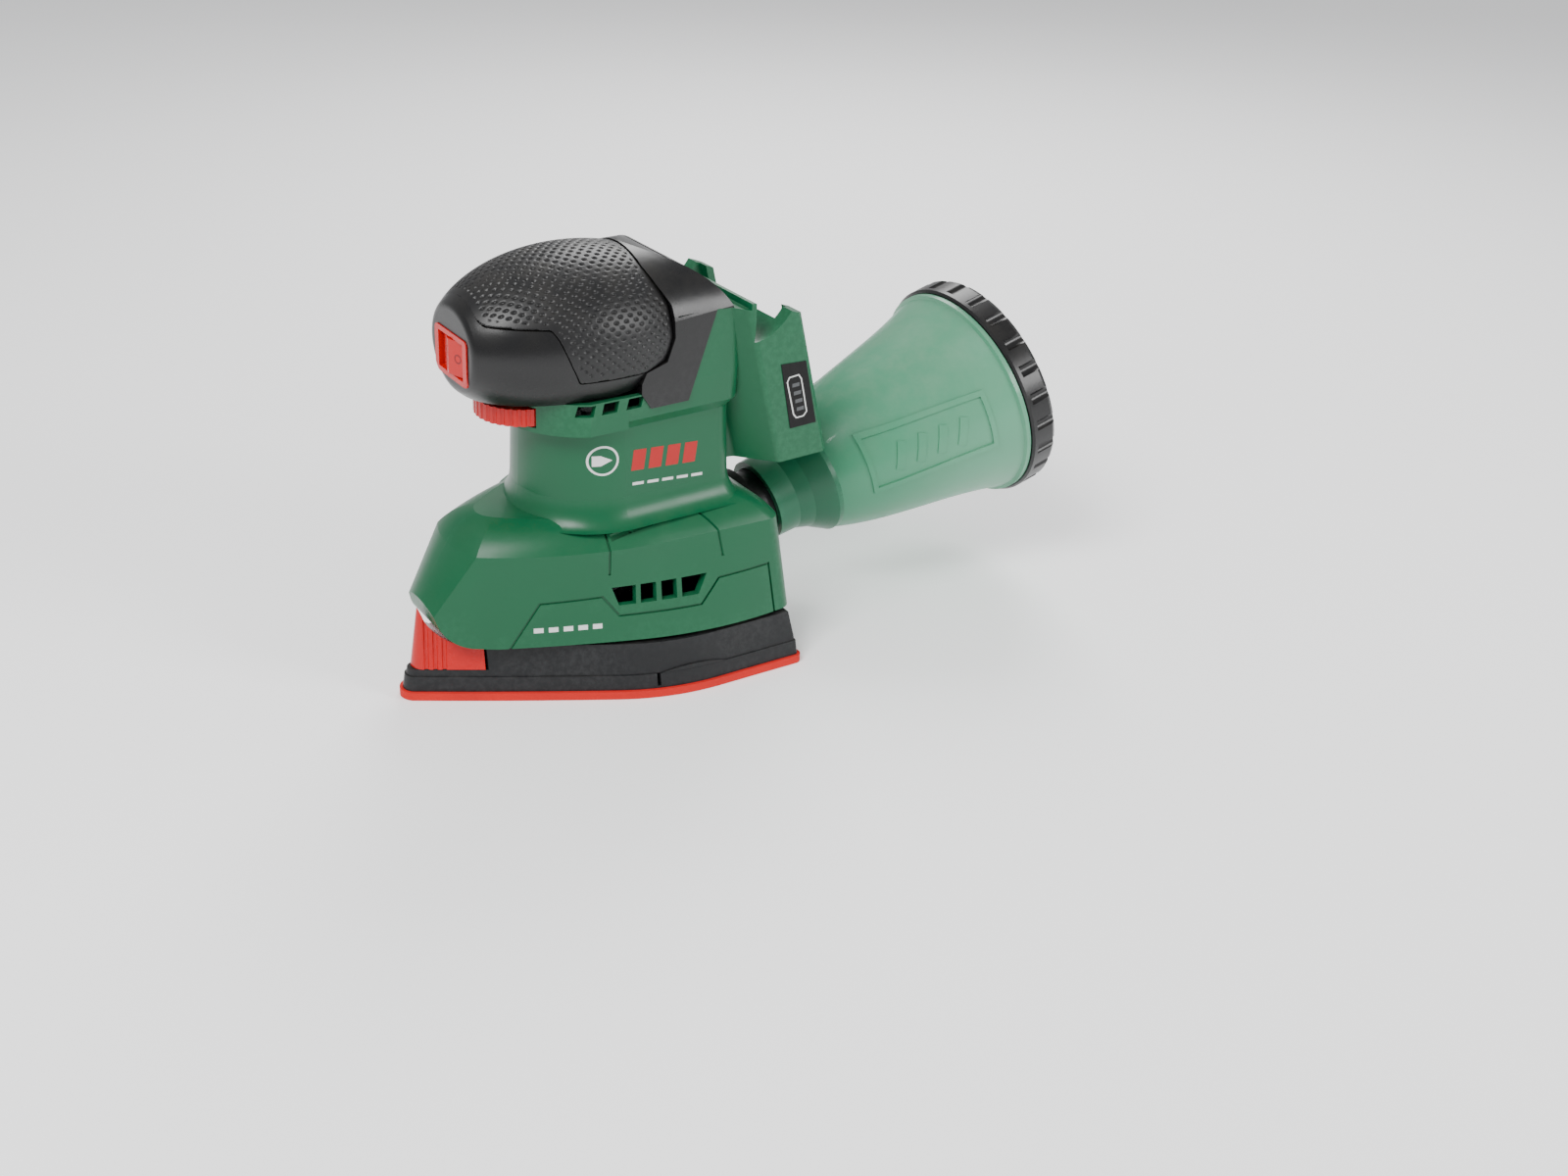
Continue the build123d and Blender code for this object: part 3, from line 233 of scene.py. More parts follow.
def metal(name, colour, rough=0.3, direction=(1.0, 1.0, 30.0), tarnish=(0.25, 0.2, 0.15)):
    """A machined metal with tool lines, smudges and dull patches."""
    material = bpy.data.materials.new(name)
    material.use_nodes = True
    tree = material.node_tree
    link = tree.links.new
    surface = tree.nodes["Principled BSDF"]
    place = node(tree, "ShaderNodeTexCoord")
    turned = node(tree, "ShaderNodeMapping", {"Scale": direction})
    link(place.outputs["Object"], turned.inputs["Vector"])
    lines = node(tree, "ShaderNodeTexNoise", {"Scale": 260.0, "Detail": 3.0, "Roughness": 0.6})
    link(turned.outputs["Vector"], lines.inputs["Vector"])
    smudge = node(tree, "ShaderNodeTexNoise", {"Scale": 130.0, "Detail": 5.0, "Roughness": 0.6})
    link(place.outputs["Object"], smudge.inputs["Vector"])
    spots = node(tree, "ShaderNodeMapRange", {"From Min": 0.55, "From Max": 0.75, "To Max": 0.45})
    link(smudge.outputs["Fac"], spots.inputs["Value"])
    dull = tuple(c * t for c, t in zip(colour[:3], (1 - v for v in tarnish))) + (1.0,)
    link(mix_colour(tree, spots.outputs["Result"], colour, dull), surface.inputs["Base Color"])
    level = maths(tree, "ADD", maths(tree, "MULTIPLY", lines.outputs["Fac"], 0.22), rough - 0.1)
    level = maths(tree, "ADD", level, maths(tree, "MULTIPLY", spots.outputs["Result"], 0.3), True)
    link(level, surface.inputs["Roughness"])
    surface.inputs["Metallic"].default_value = 1.0
    raised = node(tree, "ShaderNodeBump", {"Strength": 0.12, "Distance": 0.0001})
    link(lines.outputs["Fac"], raised.inputs["Height"])
    link(raised.outputs["Normal"], surface.inputs["Normal"])
    return material


green = moulded("green_housing_plastic", linear(6, 82, 50), rough=0.34, bump=0.08, dust=0.02, edge=0.3,
                vary=0.05, shine=0.35)
green_box = moulded("green_adapter_plastic", linear(18, 92, 62), rough=0.32, bump=0.1, dust=0.03)
black = moulded("black_cap_plastic", linear(17, 17, 18), rough=0.3, bump=0.12, dust=0.03, edge=0.25)
dark = moulded("dark_plate_plastic", linear(22, 23, 25), rough=0.4, bump=0.15, dust=0.05, shine=0.3)
rubber = moulded("soft_grip_rubber", linear(18, 18, 19), rough=0.4, grain=0.8, bump=0.18, dust=0.03, edge=0.1)
red = moulded("red_control_plastic", linear(184, 2, 2), rough=0.26, grain=0.7, bump=0.05, dust=0.0,
              edge=0.1, coat=0.06, vary=0.06, shine=0.3)
label = moulded("label_film", linear(4, 4, 5), rough=0.3, bump=0.05, dust=0.0, edge=0.1, shine=0.2)
ink = {"rough": 0.4, "bump": 0.04, "dust": 0.0, "edge": 0.0, "vary": 0.04}
print_white = moulded("label_print", linear(214, 216, 214), **ink)
print_grey = moulded("grey_print", linear(70, 72, 74), **ink)
print_red = moulded("red_print", linear(170, 2, 4), **ink)
print_dark_red = moulded("dark_red_print", linear(110, 4, 6), **ink)
carbon = moulded("pressed_carbon", linear(34, 34, 36), rough=0.6, grain=0.5, bump=0.5, dust=0.0)
ferrite = moulded("sintered_ferrite", linear(58, 58, 61), rough=0.55, grain=0.4, bump=0.5, dust=0.0)
board = moulded("circuit_board", linear(16, 84, 44), rough=0.35, grain=0.6, bump=0.1, dust=0.0, vary=0.25)
steel = metal("machined_steel", linear(196, 198, 202), rough=0.28)
zinc = metal("zinc_plated_steel", linear(168, 170, 176), rough=0.38, direction=(1.0, 1.0, 6.0))
brass = metal("stamped_brass", linear(214, 172, 92), rough=0.3, tarnish=(0.3, 0.35, 0.4))
copper = metal("copper_winding", linear(206, 120, 72), rough=0.32, direction=(30.0, 1.0, 1.0),
               tarnish=(0.3, 0.4, 0.45))


def hook_fabric():
    """Woven hook backing: short loops over a coloured foam."""
    material = moulded("hook_fabric", linear(196, 14, 4), rough=0.75, grain=0.35, bump=0.9, dust=0.02,
                       edge=0.0, vary=0.2)
    return material


hook = hook_fabric()


def frosted():
    """Frosted plastic, a little see-through so the inside shows faintly, with painted shade: darker green
    towards the box's front and lighter towards its rear end.
    """
    material = bpy.data.materials.new("frosted_green")
    material.use_nodes = True
    tree = material.node_tree
    link = tree.links.new
    surface = tree.nodes["Principled BSDF"]
    place = node(tree, "ShaderNodeTexCoord")
    texture = node(tree, "ShaderNodeGroup", node_tree=GRAIN)
    texture.inputs["Scale"].default_value = 0.8
    link(place.outputs["Object"], texture.inputs["Vector"])
    film = node(tree, "ShaderNodeGroup", node_tree=DUST)
    film.inputs["Amount"].default_value = 0.12
    link(place.outputs["Object"], film.inputs["Vector"])
    spread = node(tree, "ShaderNodeSeparateXYZ")
    link(place.outputs["Object"], spread.inputs["Vector"])
    # painted shade: the green is darker towards the front of the box and lighter towards its rear end, by
    # position along Y
    along = node(tree, "ShaderNodeMapRange", {"From Min": 0.095, "From Max": 0.18})
    link(spread.outputs["Y"], along.inputs["Value"])
    base = mix_colour(tree, along.outputs["Result"], linear(50, 134, 96), linear(98, 166, 132))
    cloudy = maths(tree, "MULTIPLY", texture.outputs["Variation"], 0.35)
    base = mix_colour(tree, cloudy, base, linear(38, 108, 76))
    base = mix_colour(tree, film.outputs["Mask"], base, linear(200, 196, 180))
    link(base, surface.inputs["Base Color"])
    link(maths(tree, "ADD", maths(tree, "MULTIPLY", texture.outputs["Variation"], 0.15), 0.3),
         surface.inputs["Roughness"])
    clear = maths(tree, "ADD", maths(tree, "MULTIPLY", texture.outputs["Variation"], 0.08), 0.8, True)
    link(clear, surface.inputs["Alpha"])
    raised = node(tree, "ShaderNodeBump", {"Strength": 0.1, "Distance": 0.0001})
    link(texture.outputs["Height"], raised.inputs["Height"])
    link(raised.outputs["Normal"], surface.inputs["Normal"])
    surface.inputs["Coat Weight"].default_value = 0.15
    return material


clear_green = frosted()


def paper_material():
    """Filter paper with fibres and grey dust in it."""
    material = bpy.data.materials.new("filter_paper")
    material.use_nodes = True
    tree = material.node_tree
    link = tree.links.new
    surface = tree.nodes["Principled BSDF"]
    place = node(tree, "ShaderNodeTexCoord")
    fibres = node(tree, "ShaderNodeTexNoise", {"Scale": 1500.0, "Detail": 4.0, "Roughness": 0.7})
    link(place.outputs["Object"], fibres.inputs["Vector"])
    stains = node(tree, "ShaderNodeTexNoise", {"Scale": 60.0, "Detail": 5.0})
    link(place.outputs["Object"], stains.inputs["Vector"])
    base = mix_colour(tree, fibres.outputs["Fac"], linear(214, 208, 190), linear(240, 236, 222))
    spots = node(tree, "ShaderNodeMapRange", {"From Min": 0.45, "From Max": 0.8, "To Max": 0.6})
    link(stains.outputs["Fac"], spots.inputs["Value"])
    link(mix_colour(tree, spots.outputs["Result"], base, linear(170, 158, 134)), surface.inputs["Base Color"])
    surface.inputs["Roughness"].default_value = 0.9
    raised = node(tree, "ShaderNodeBump", {"Strength": 0.4, "Distance": 0.0001})
    link(fibres.outputs["Fac"], raised.inputs["Height"])
    link(raised.outputs["Normal"], surface.inputs["Normal"])
    return material


paper = paper_material()

finishes = {
    "green_plastic": green, "black_plastic": black, "soft_rubber": rubber, "red_plastic": red,
    "hook_fabric": hook, "clear_green": clear_green, "steel": steel, "can_steel": zinc, "brass": brass,
    "copper": copper, "carbon": carbon, "ferrite": ferrite, "board": board, "paper": paper, "label": label,
}
slot_of = {part["node"]: part["material_slot"] for part in frame["record"]["subparts"]}
special = {"flex_sole": dark, "plate_carrier": dark, "dust_adapter": green_box}

for name, piece in nodes.items():
    piece.data.materials.clear()
    piece.data.materials.append(special.get(name, finishes[slot_of[name]]))


# ------------------------------------------------------------------ mesh helpers
def new_piece(name, mesh, material, body, smooth=30):
    """An object for a finished mesh: shaded, painted, riding on its body."""
    piece = bpy.data.objects.new(name, mesh)
    bpy.context.scene.collection.objects.link(piece)
    mesh.materials.clear()
    mesh.materials.append(material)
    mesh.shade_smooth()
    mesh.set_sharp_from_angle(angle=math.radians(smooth))
    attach(piece, body)
    return piece


def finished_mesh(piece, name):
    """The plain mesh of a piece with its modifiers applied; the piece itself is removed."""
    view_layer = bpy.context.evaluated_depsgraph_get()
    view_layer.update()
    mesh = bpy.data.meshes.new_from_object(piece.evaluated_get(view_layer))
    mesh.name = name
    bpy.data.objects.remove(piece)
    return mesh


def surface_of(*names):
    """A search tree over the meshes of CAD nodes."""
    corners, faces = [], []
    for name in names:
        mesh = nodes[name].data
        start = len(corners)
        corners += [vertex.co.copy() for vertex in mesh.vertices]
        faces += [[start + index for index in face.vertices] for face in mesh.polygons]
    return BVHTree.FromPolygons(corners, faces)


def laid(name, cells, surface, towards, height, depth=0.15, step=1.5):
    """A thin mesh that follows a surface: cells are outlines in mm, seen along the direction towards.

    Seen along X a cell holds (y, z) points, seen along Y it holds (x, z) points. The mesh stands height
    mm above the surface and reaches depth mm below its own face.
    """
    shape = bmesh.new()
    axis = 0 if abs(towards[0]) > 0.5 else 1
    far = -0.3 * towards[axis]
    for cell in cells:
        corners = []
        for a, b in cell:
            corners.append(shape.verts.new((far, a * MM, b * MM) if axis == 0 else (a * MM, far, b * MM)))
        shape.faces.new(corners)
    bmesh.ops.remove_doubles(shape, verts=shape.verts, dist=1e-6)
    for _ in range(7):
        bmesh.ops.triangulate(shape, faces=shape.faces)
        long_edges = [edge for edge in shape.edges if edge.calc_length() > step * MM]
        if not long_edges:
            break
        bmesh.ops.subdivide_edges(shape, edges=long_edges, cuts=1)
    bmesh.ops.triangulate(shape, faces=shape.faces)
    way = Vector(towards)
    for vertex in shape.verts:
        spot, normal, _, _ = surface.ray_cast(vertex.co, way)
        if normal.dot(way) > 0:
            normal = -normal
        vertex.co = spot + normal * height * MM
    bmesh.ops.recalc_face_normals(shape, faces=shape.faces)
    if sum((face.normal.dot(way) * face.calc_area() for face in shape.faces)) > 0:
        bmesh.ops.reverse_faces(shape, faces=shape.faces)
    mesh = bpy.data.meshes.new(name)
    shape.to_mesh(mesh)
    shape.free()
    piece = bpy.data.objects.new(name, mesh)
    bpy.context.scene.collection.objects.link(piece)
    thick = piece.modifiers.new("thickness", "SOLIDIFY")
    thick.thickness = depth * MM
    thick.offset = -1
    return finished_mesh(piece, name)


def bar(start, end, width):
    """The outline of a straight bar between two points."""
    along = Vector(end) - Vector(start)
    across = Vector((-along.y, along.x)).normalized() * width / 2
    return [tuple(Vector(start) + across), tuple(Vector(start) - across),
            tuple(Vector(end) - across), tuple(Vector(end) + across)]


def hoop(centre, inner, outer, sides=32):
    """The cells of a flat ring."""
    def at(radius, index):
        turn = 2 * math.pi * (index % sides) / sides
        return (centre[0] + radius * math.cos(turn), centre[1] + radius * math.sin(turn))
    return [[at(inner, k), at(outer, k), at(outer, k + 1), at(inner, k + 1)] for k in range(sides)]


def frame_cells(corners, width):
    """The cells of a line of even width along a closed outline, with mitred corners."""
    middle = Vector((sum(c[0] for c in corners), sum(c[1] for c in corners))) / len(corners)
    size = len(corners)
    inner = []
    for index in range(size):
        here = Vector(corners[index])
        before = (here - Vector(corners[index - 1])).normalized()
        after = (Vector(corners[(index + 1) % size]) - here).normalized()
        side = Vector((-before.y, before.x)) + Vector((-after.y, after.x))
        side = side.normalized() / max(0.4, math.cos(before.angle(after) / 2))
        if side.dot(middle - here) < 0:
            side = -side
        inner.append(tuple(here + side * width))
    return [[tuple(corners[k]), tuple(corners[(k + 1) % size]), inner[(k + 1) % size], inner[k]]
            for k in range(size)]


# ------------------------------------------------------------------ the soft grip with its pits
CAP_CENTRE = np.array([0.0, -8.5, 135.5]) * MM
CAP_RADII = np.array([35.0, 53.0, 31.0]) * MM
GRIP_OUTLINE = [
    (-51, 185), (-51, 147.5), (-30, 146.4), (-28, 143), (-24.4, 134), (-20.6, 126), (7, 125), (15.6, 127.6),
    (18.8, 136), (18.2, 148), (14.7, 154.5), (12.5, 160), (12.5, 185),
]
PIT_PITCH = 4.2 * MM
PIT_ROW = 2.1 * MM
PIT_HALF = (1.05 * MM, 0.7 * MM)
PIT_DEPTH = 0.55 * MM
PIT_MARGIN = 2.2 * MM


def distance_to_outline(points, outline):
    """How far (y, z) points lie from a closed outline."""
    best = np.full(len(points), 1e9)
    for index, (y, z) in enumerate(outline):
        a = np.array([y, z]) * MM
        b = np.array(outline[(index + 1) % len(outline)]) * MM
        share = np.clip(((points - a) @ (b - a)) / ((b - a) @ (b - a)), 0, 1)
        best = np.minimum(best, np.linalg.norm(points - a - share[:, None] * (b - a), axis=1))
    return best


def dimpled_grip():
    """The grip's skin remade as an even mesh, its outer face pressed with staggered oval pits."""
    mesh = nodes["soft_grip"].data.copy()
    shape = bmesh.new()
    shape.from_mesh(mesh)
    bmesh.ops.remove_doubles(shape, verts=shape.verts, dist=1e-6)
    shape.to_mesh(mesh)
    shape.free()
    piece = bpy.data.objects.new("grip_skin", mesh)
    bpy.context.scene.collection.objects.link(piece)
    even = piece.modifiers.new("even", "REMESH")
    even.mode = "VOXEL"
    even.voxel_size = 0.42 * MM
    mesh = finished_mesh(piece, "soft_grip_skin")
    count = len(mesh.vertices)
    place = np.empty(count * 3)
    mesh.vertices.foreach_get("co", place)
    place = place.reshape(-1, 3)
    normals = np.empty(count * 3)
    mesh.vertices.foreach_get("normal", normals)
    normals = normals.reshape(-1, 3)
    local = (place - CAP_CENTRE) / CAP_RADII
    reach = np.linalg.norm(local, axis=1)
    outward = local / CAP_RADII
    outward /= np.linalg.norm(outward, axis=1)[:, None]
    outer = (reach > 0.985) & ((normals * outward).sum(axis=1) > 0.6)
    place[outer] = (CAP_CENTRE + CAP_RADII * local / reach[:, None])[outer]
    angle = np.arctan2(local[:, 0], local[:, 2])
    row = angle * (CAP_RADII[0] + CAP_RADII[2]) / 2 / PIT_ROW
    near_row = np.round(row)
    column = place[:, 1] / PIT_PITCH - 0.5 * np.mod(near_row, 2)
    off = np.hypot((column - np.round(column)) * PIT_PITCH / PIT_HALF[0],
                   (row - near_row) * PIT_ROW / PIT_HALF[1])
    free = distance_to_outline(place[:, 1:], GRIP_OUTLINE) > PIT_MARGIN
    press = np.where(outer & free, np.clip(1 - off ** 2, 0, 1), 0) * PIT_DEPTH
    place -= outward * press[:, None]
    mesh.vertices.foreach_set("co", place.ravel())
    mesh.update()
    return mesh


grip = new_piece("soft_grip_dimpled", dimpled_grip(), rubber, "housing", smooth=60)
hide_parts("soft_grip")


# ------------------------------------------------------------------ screws by geometry nodes
def islands(name):
    """The boxes, as (low, high) corners, of a node's separate solids."""
    shape = bmesh.new()
    shape.from_mesh(nodes[name].data)
    bmesh.ops.remove_doubles(shape, verts=shape.verts, dist=1e-6)
    found = []
    left = set(shape.verts)
    while left:
        stack = [left.pop()]
        group = []
        while stack:
            vertex = stack.pop()
            group.append(vertex.co.copy())
            for edge in vertex.link_edges:
                other = edge.other_vert(vertex)
                if other in left:
                    left.discard(other)
                    stack.append(other)
        group = np.array(group)
        found.append((group.min(axis=0), group.max(axis=0)))
    shape.free()
    return sorted(found, key=lambda pair: tuple(pair[0]))


def screw_mesh(name, head_radius, head_height, shank_radius, shank_length, sides=24):
    """A screw along +Z with its head below the origin: lobed socket, chamfered head, cut thread."""
    rings = []

    def ring(radius, height, lobes=0.0, lead=0.0):
        loop = []
        for k in range(sides):
            turn = 2 * math.pi * k / sides
            reach = radius * (1 + lobes * math.cos(6 * turn))
            loop.append((reach * math.cos(turn), reach * math.sin(turn), height + lead * k / sides))
        rings.append(loop)

    ring(head_radius * 0.40, -head_height * 0.35, 0.16)
    ring(head_radius * 0.44, -head_height, 0.16)
    ring(head_radius * 0.86, -head_height)
    ring(head_radius, -head_height * 0.8)
    ring(head_radius, 0.0)
    ring(shank_radius, 0.0)
    pitch = shank_radius * 0.55
    turns = int(shank_length * 0.8 / pitch)
    for k in range(turns):
        base = shank_length * 0.12 + k * pitch
        ring(shank_radius * 0.78, base, lead=pitch)
        ring(shank_radius * 0.99, base + pitch * 0.5, lead=pitch)
    ring(shank_radius * 0.6, shank_length)
    corners = [corner for loop in rings for corner in loop]
    faces = []
    for level in range(len(rings) - 1):
        for k in range(sides):
            a = level * sides + k
            b = level * sides + (k + 1) % sides
            faces.append((a, b, b + sides, a + sides))
    faces.append(tuple(reversed(range(sides))))
    faces.append(tuple(range(len(corners) - sides, len(corners))))
    mesh = bpy.data.meshes.new(name)
    mesh.from_pydata(corners, [], faces)
    shape = bmesh.new()
    shape.from_mesh(mesh)
    bmesh.ops.recalc_face_normals(shape, faces=shape.faces)
    shape.to_mesh(mesh)
    shape.free()
    return mesh


def spread_tree():
    """Geometry nodes that set one shape on every point, turned and sized, and paint it."""
    tree = bpy.data.node_groups.new("set_on_points", "GeometryNodeTree")
    sockets = (("Points", "Geometry"), ("Shape", "Object"), ("Turn", "Rotation"), ("Step Turn", "Float"),
               ("Size", "Float"), ("Finish", "Material"))
    for title, kind in sockets:
        tree.interface.new_socket(title, in_out="INPUT", socket_type="NodeSocket" + kind)
    tree.interface.new_socket("Geometry", in_out="OUTPUT", socket_type="NodeSocketGeometry")
    start = tree.nodes.new("NodeGroupInput")
    end = tree.nodes.new("NodeGroupOutput")
    shape = tree.nodes.new("GeometryNodeObjectInfo")
    place = tree.nodes.new("GeometryNodeInstanceOnPoints")
    index = tree.nodes.new("GeometryNodeInputIndex")
    turn = maths(tree, "MULTIPLY", index.outputs[0], start.outputs["Step Turn"])
    about = tree.nodes.new("FunctionNodeAxisAngleToRotation")
    join = tree.nodes.new("FunctionNodeRotateRotation")
    join.rotation_space = "LOCAL"
    real = tree.nodes.new("GeometryNodeRealizeInstances")
    paint = tree.nodes.new("GeometryNodeSetMaterial")
    link = tree.links.new
    link(start.outputs["Points"], place.inputs["Points"])
    link(start.outputs["Shape"], shape.inputs["Object"])
    link(shape.outputs["Geometry"], place.inputs["Instance"])
    link(turn, about.inputs["Angle"])
    link(start.outputs["Turn"], join.inputs["Rotation"])
    link(about.outputs["Rotation"], join.inputs["Rotate By"])
    link(join.outputs["Rotation"], place.inputs["Rotation"])
    link(start.outputs["Size"], place.inputs["Scale"])
    link(place.outputs["Instances"], real.inputs["Geometry"])
    link(real.outputs["Geometry"], paint.inputs["Geometry"])
    link(start.outputs["Finish"], paint.inputs["Material"])
    link(paint.outputs["Geometry"], end.inputs["Geometry"])
    return tree


SPREAD = spread_tree()


def spread(name, points, mesh, turn, finish, step_turn=0.0):
    """One shape on every point, as a plain mesh."""
    shape = bpy.data.objects.new(name + "_shape", mesh)
    bpy.context.scene.collection.objects.link(shape)
    cloud = bpy.data.meshes.new(name + "_points")
    cloud.from_pydata([tuple(point) for point in points], [], [])
    piece = bpy.data.objects.new(name, cloud)
    bpy.context.scene.collection.objects.link(piece)
    nodes_modifier = piece.modifiers.new("spread", "NODES")
    nodes_modifier.node_group = SPREAD
    values = {"Shape": shape, "Turn": turn, "Step Turn": step_turn, "Size": 1.0, "Finish": finish}
    for socket in SPREAD.interface.items_tree:
        if socket.in_out == "INPUT" and socket.name in values:
            nodes_modifier[socket.identifier] = values[socket.name]
    result = finished_mesh(piece, name)
    bpy.data.objects.remove(shape)
    return result


SCREW_STEP_TURN = 0.7  # radians from one screw's socket to the next one's


def screws(name, body, axis, seat_from_low, head_radius, shank_radius, head_height, shank_length, turn):
    """Detailed screws in place of a CAD node's plain ones; seat_from_low is under the head."""
    seats = []
    for low, high in islands(name):
        seat = (low + high) / 2
        seat[axis] = low[axis] + seat_from_low * MM
        seats.append(seat)
    mesh = screw_mesh(name + "_one", head_radius * MM, head_height * MM, shank_radius * MM, shank_length * MM)
    made = spread(name + "_threaded", seats, mesh, turn, steel, step_turn=SCREW_STEP_TURN)
    piece = new_piece(name + "_threaded", made, steel, body, smooth=35)
    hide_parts(name)


screw_size = {"seat_from_low": 2.4, "head_radius": 3.1, "shank_radius": 1.9, "head_height": 2.4}
screws("housing_screws", "housing", 0, **screw_size, shank_length=18.0, turn=(0.0, math.pi / 2, 0.0))
screws("plate_screws", "sanding_plate", 2, **screw_size, shank_length=15.0, turn=(0.0, 0.0, 0.0))

# ------------------------------------------------------------------ prints, symbols and raised lines
left_skin = surface_of("housing_left")
right_skin = surface_of("housing_right")
LEFTWARD = (-1.0, 0.0, 0.0)
RIGHTWARD = (1.0, 0.0, 0.0)


def print_on(name, cells, surface, towards, finish, body, height=0.05, depth=0.12):
    """A thin print or raised mark that rides with its body."""
    return new_piece(name, laid(name, cells, surface, towards, height, depth), finish, body)


# a round mark with a plate's outline in it, slanted blocks and a thin line, all of them wordless
mark_centre = (-8.5, 92.6)
iron = [(-12.4, 94.6), (-12.4, 90.6), (-9.4, 90.6), (-5.2, 92.6), (-9.4, 94.6)]
blocks = [[(2.4 + 7.4 * k, 86.9 - 0.6 * k), (7.8 + 7.4 * k, 86.5 - 0.6 * k),
           (9.0 + 7.4 * k, 94.4 - 0.6 * k), (3.6 + 7.4 * k, 94.8 - 0.6 * k)] for k in range(4)]
dashes = [bar((3.0 + 6.4 * k, 81.6 - 0.55 * k), (7.8 + 6.4 * k, 81.2 - 0.55 * k), 1.1) for k in range(5)]
skirt_ticks = [bar((-37 + 5.2 * k, 29.6), (-33.6 + 5.2 * k, 29.6), 2.0) for k in range(5)]
badge = hoop(mark_centre, 5.0, 5.8) + [iron]
prints = (("neck_mark", badge, print_white), ("neck_blocks", blocks, print_red),
          ("neck_dashes", dashes, print_white), ("skirt_ticks", skirt_ticks, print_white))
for side, skin, way in (("left", left_skin, LEFTWARD), ("right", right_skin, RIGHTWARD)):
    for title, cells, finish in prints:
        print_on(f"{title}_{side}", cells, skin, way, finish, "housing")

# the battery pictogram on the foot's labels
label_skin = surface_of("foot_labels")
battery_outline = [
    (65.4, 114.2), (69.8, 114.6), (71.2, 112.6), (74.4, 98.8),
    (72.8, 97.0), (69.4, 96.9), (68.0, 98.6), (64.4, 112.2),
]
cells_inside = [
    bar((67.0 + 0.86 * k, 110.4 - 3.3 * k), (70.2 + 0.86 * k, 110.6 - 3.3 * k), 1.5) for k in range(4)
]
for side, way in (("left", LEFTWARD), ("right", RIGHTWARD)):
    for title, cells, finish in (("sign", frame_cells(battery_outline, 0.5), print_white),
                                 ("cells", cells_inside, print_grey)):
        print_on(f"battery_{title}_{side}", cells, label_skin, way, finish, "housing",
                 height=0.04, depth=0.08)

# the switch's ring and bar, on its two faces
rocker_skin = surface_of("rocker")
rocker_z = 0.5 * (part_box("rocker")[0][2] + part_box("rocker")[1][2]) / MM
FORWARD_IN = (0.0, 1.0, 0.0)
print_on("rocker_ring", hoop((5.0, rocker_z), 1.25, 1.75, 20), rocker_skin, FORWARD_IN, print_dark_red,
         "rocker", height=0.06, depth=0.1)
print_on("rocker_bar", [bar((-5.0, rocker_z - 1.8), (-5.0, rocker_z + 1.8), 0.55)], rocker_skin, FORWARD_IN,
         print_dark_red, "rocker", height=0.06, depth=0.1)

# the raised panel on both sides of the dust box, laid along the box's slope
dust_slope = math.radians(15.5)
dust_from = (66.0, 42.7)


def beside_dust_axis(along, above):
    """(y, z) of a point beside the dust axis."""
    return (dust_from[0] + along * math.cos(dust_slope) - above * math.sin(dust_slope),
            dust_from[1] + along * math.sin(dust_slope) + above * math.cos(dust_slope))


body_skin = surface_of("dust_body")
panel = [beside_dust_axis(*spot) for spot in ((50, -3.6), (104, -3.6), (104, 20.6), (50, 20.6))]
stripes = [bar(beside_dust_axis(62 + 9 * k, 3.0), beside_dust_axis(66 + 9 * k, 13.5), 3.4) for k in range(4)]
for side, way in (("left", LEFTWARD), ("right", RIGHTWARD)):
    print_on(f"dust_panel_{side}", frame_cells(panel, 2.0), body_skin, way, clear_green, "dust_box",
             height=0.7, depth=1.0)
    print_on(f"dust_panel_stripes_{side}", stripes, body_skin, way, clear_green, "dust_box",
             height=0.35, depth=0.6)

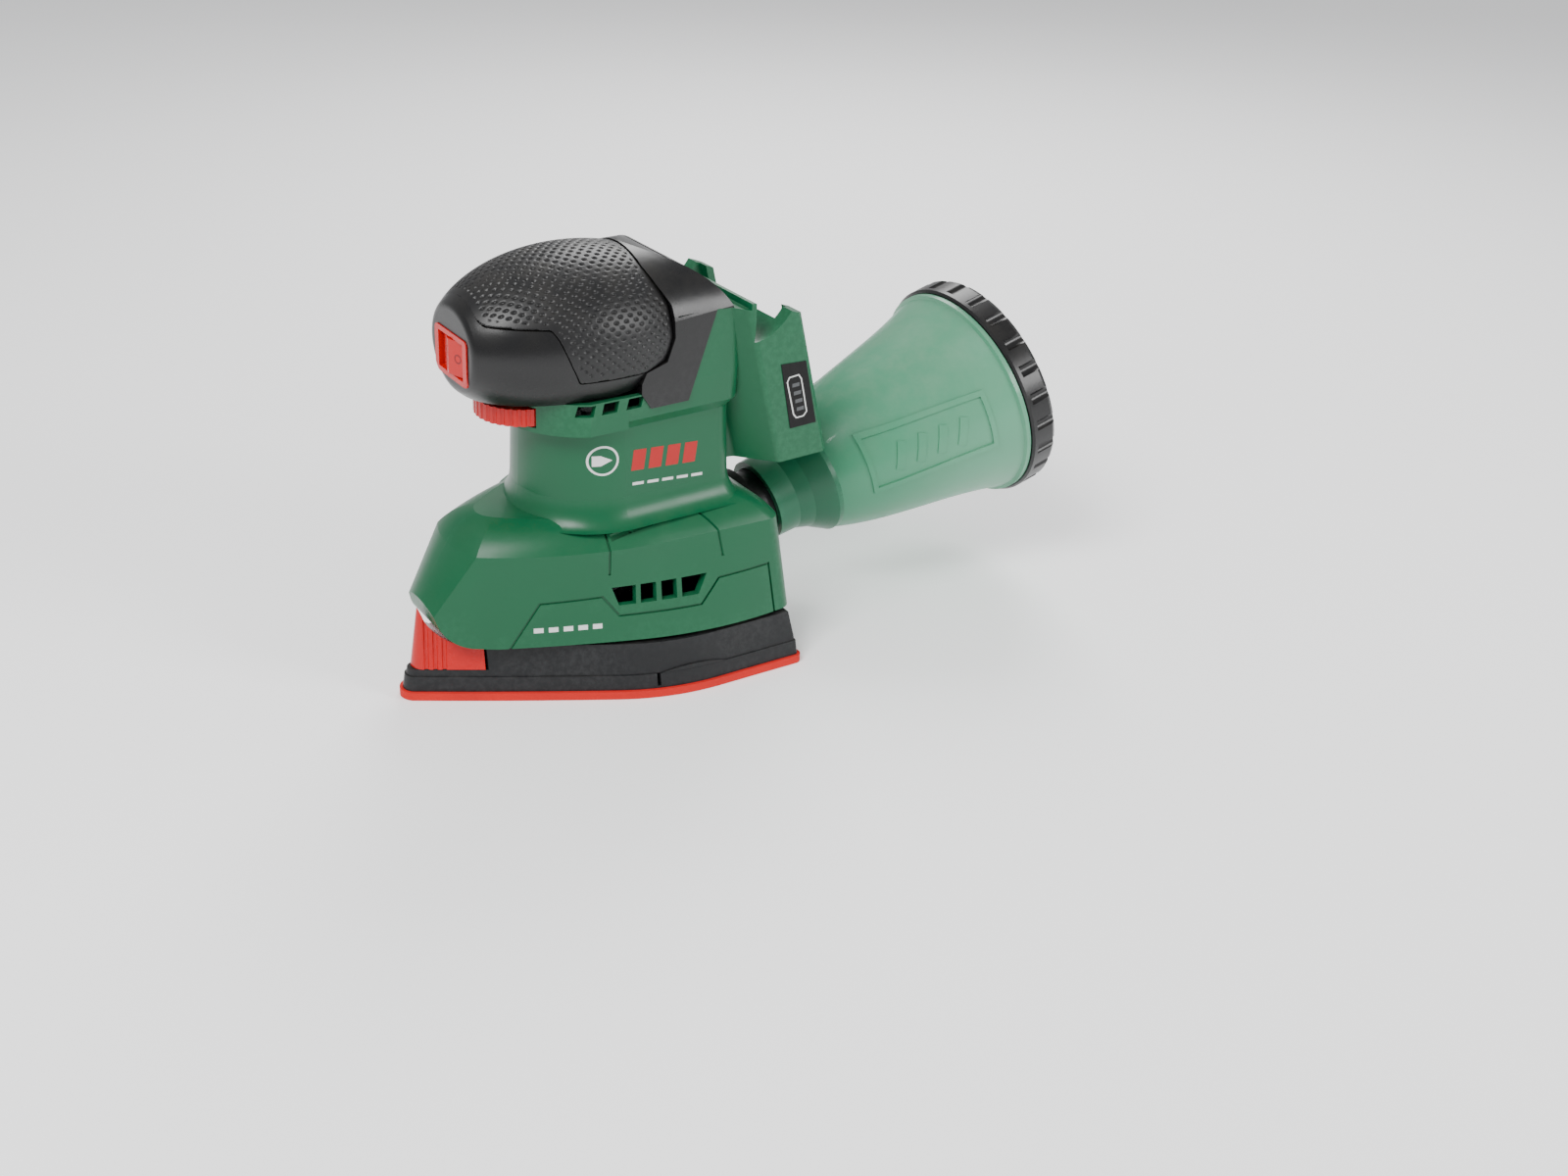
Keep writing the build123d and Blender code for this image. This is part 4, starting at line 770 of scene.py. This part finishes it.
# ------------------------------------------------------------------ stage, light and camera
bpy.ops.mesh.primitive_plane_add(size=6.0, location=(0, 0, -0.0002))
floor = bpy.context.object
floor.name = "floor"
ground = bpy.data.materials.new("pale_floor")
ground.use_nodes = True
floor_looks = {"Base Color": (0.96, 0.96, 0.96, 1), "Emission Color": (1, 1, 1, 1),
               "Emission Strength": 0.18, "Roughness": 0.9}
for socket, value in floor_looks.items():
    ground.node_tree.nodes["Principled BSDF"].inputs[socket].default_value = value
floor.data.materials.append(ground)

world = bpy.data.worlds.new("pale_surroundings")
bpy.context.scene.world = world
world.use_nodes = True
world.node_tree.nodes["Background"].inputs["Color"].default_value = (0.97, 0.98, 1.0, 1)
world.node_tree.nodes["Background"].inputs["Strength"].default_value = 0.55


def area_light(name, place, target, size, power):
    """A soft square light aimed at a point."""
    lamp = bpy.data.lights.new(name, "AREA")
    lamp.shape = "SQUARE"
    lamp.size = size
    lamp.energy = power
    holder = bpy.data.objects.new(name, lamp)
    bpy.context.scene.collection.objects.link(holder)
    holder.location = place
    holder.rotation_euler = (Vector(target) - Vector(place)).to_track_quat("-Z", "Y").to_euler()


area_light("key_light", (0.35, -0.65, 1.0), (0, 0.03, 0.08), 0.45, 15.0)
area_light("side_light", (0.95, 0.75, 0.55), (0, 0.05, 0.08), 0.4, 9.0)
area_light("rim_light", (-0.6, 0.6, 0.8), (0, 0.05, 0.08), 0.5, 8.0)

azimuth = math.radians(61.3)
elevation = math.radians(24.7)
aim = Vector((0.0, 0.0, 0.070))
distance = 0.700
view = bpy.data.cameras.new("main_camera")
camera = bpy.data.objects.new("main_camera", view)
bpy.context.scene.collection.objects.link(camera)
forward = Vector((-math.sin(azimuth) * math.cos(elevation), math.cos(azimuth) * math.cos(elevation),
                  -math.sin(elevation)))
right = Vector((math.cos(azimuth), math.sin(azimuth), 0.0))
upward = right.cross(forward)
place = aim - forward * distance
turn = Matrix((right, upward, -forward)).transposed().to_4x4()
camera.matrix_world = Matrix.Translation(place) @ turn
view.sensor_width = 36.0
view.lens = 42.26
view.shift_x = 0.1256
view.shift_y = -0.0656
view.dof.use_dof = False
view.clip_start = 0.01
bpy.context.scene.camera = camera
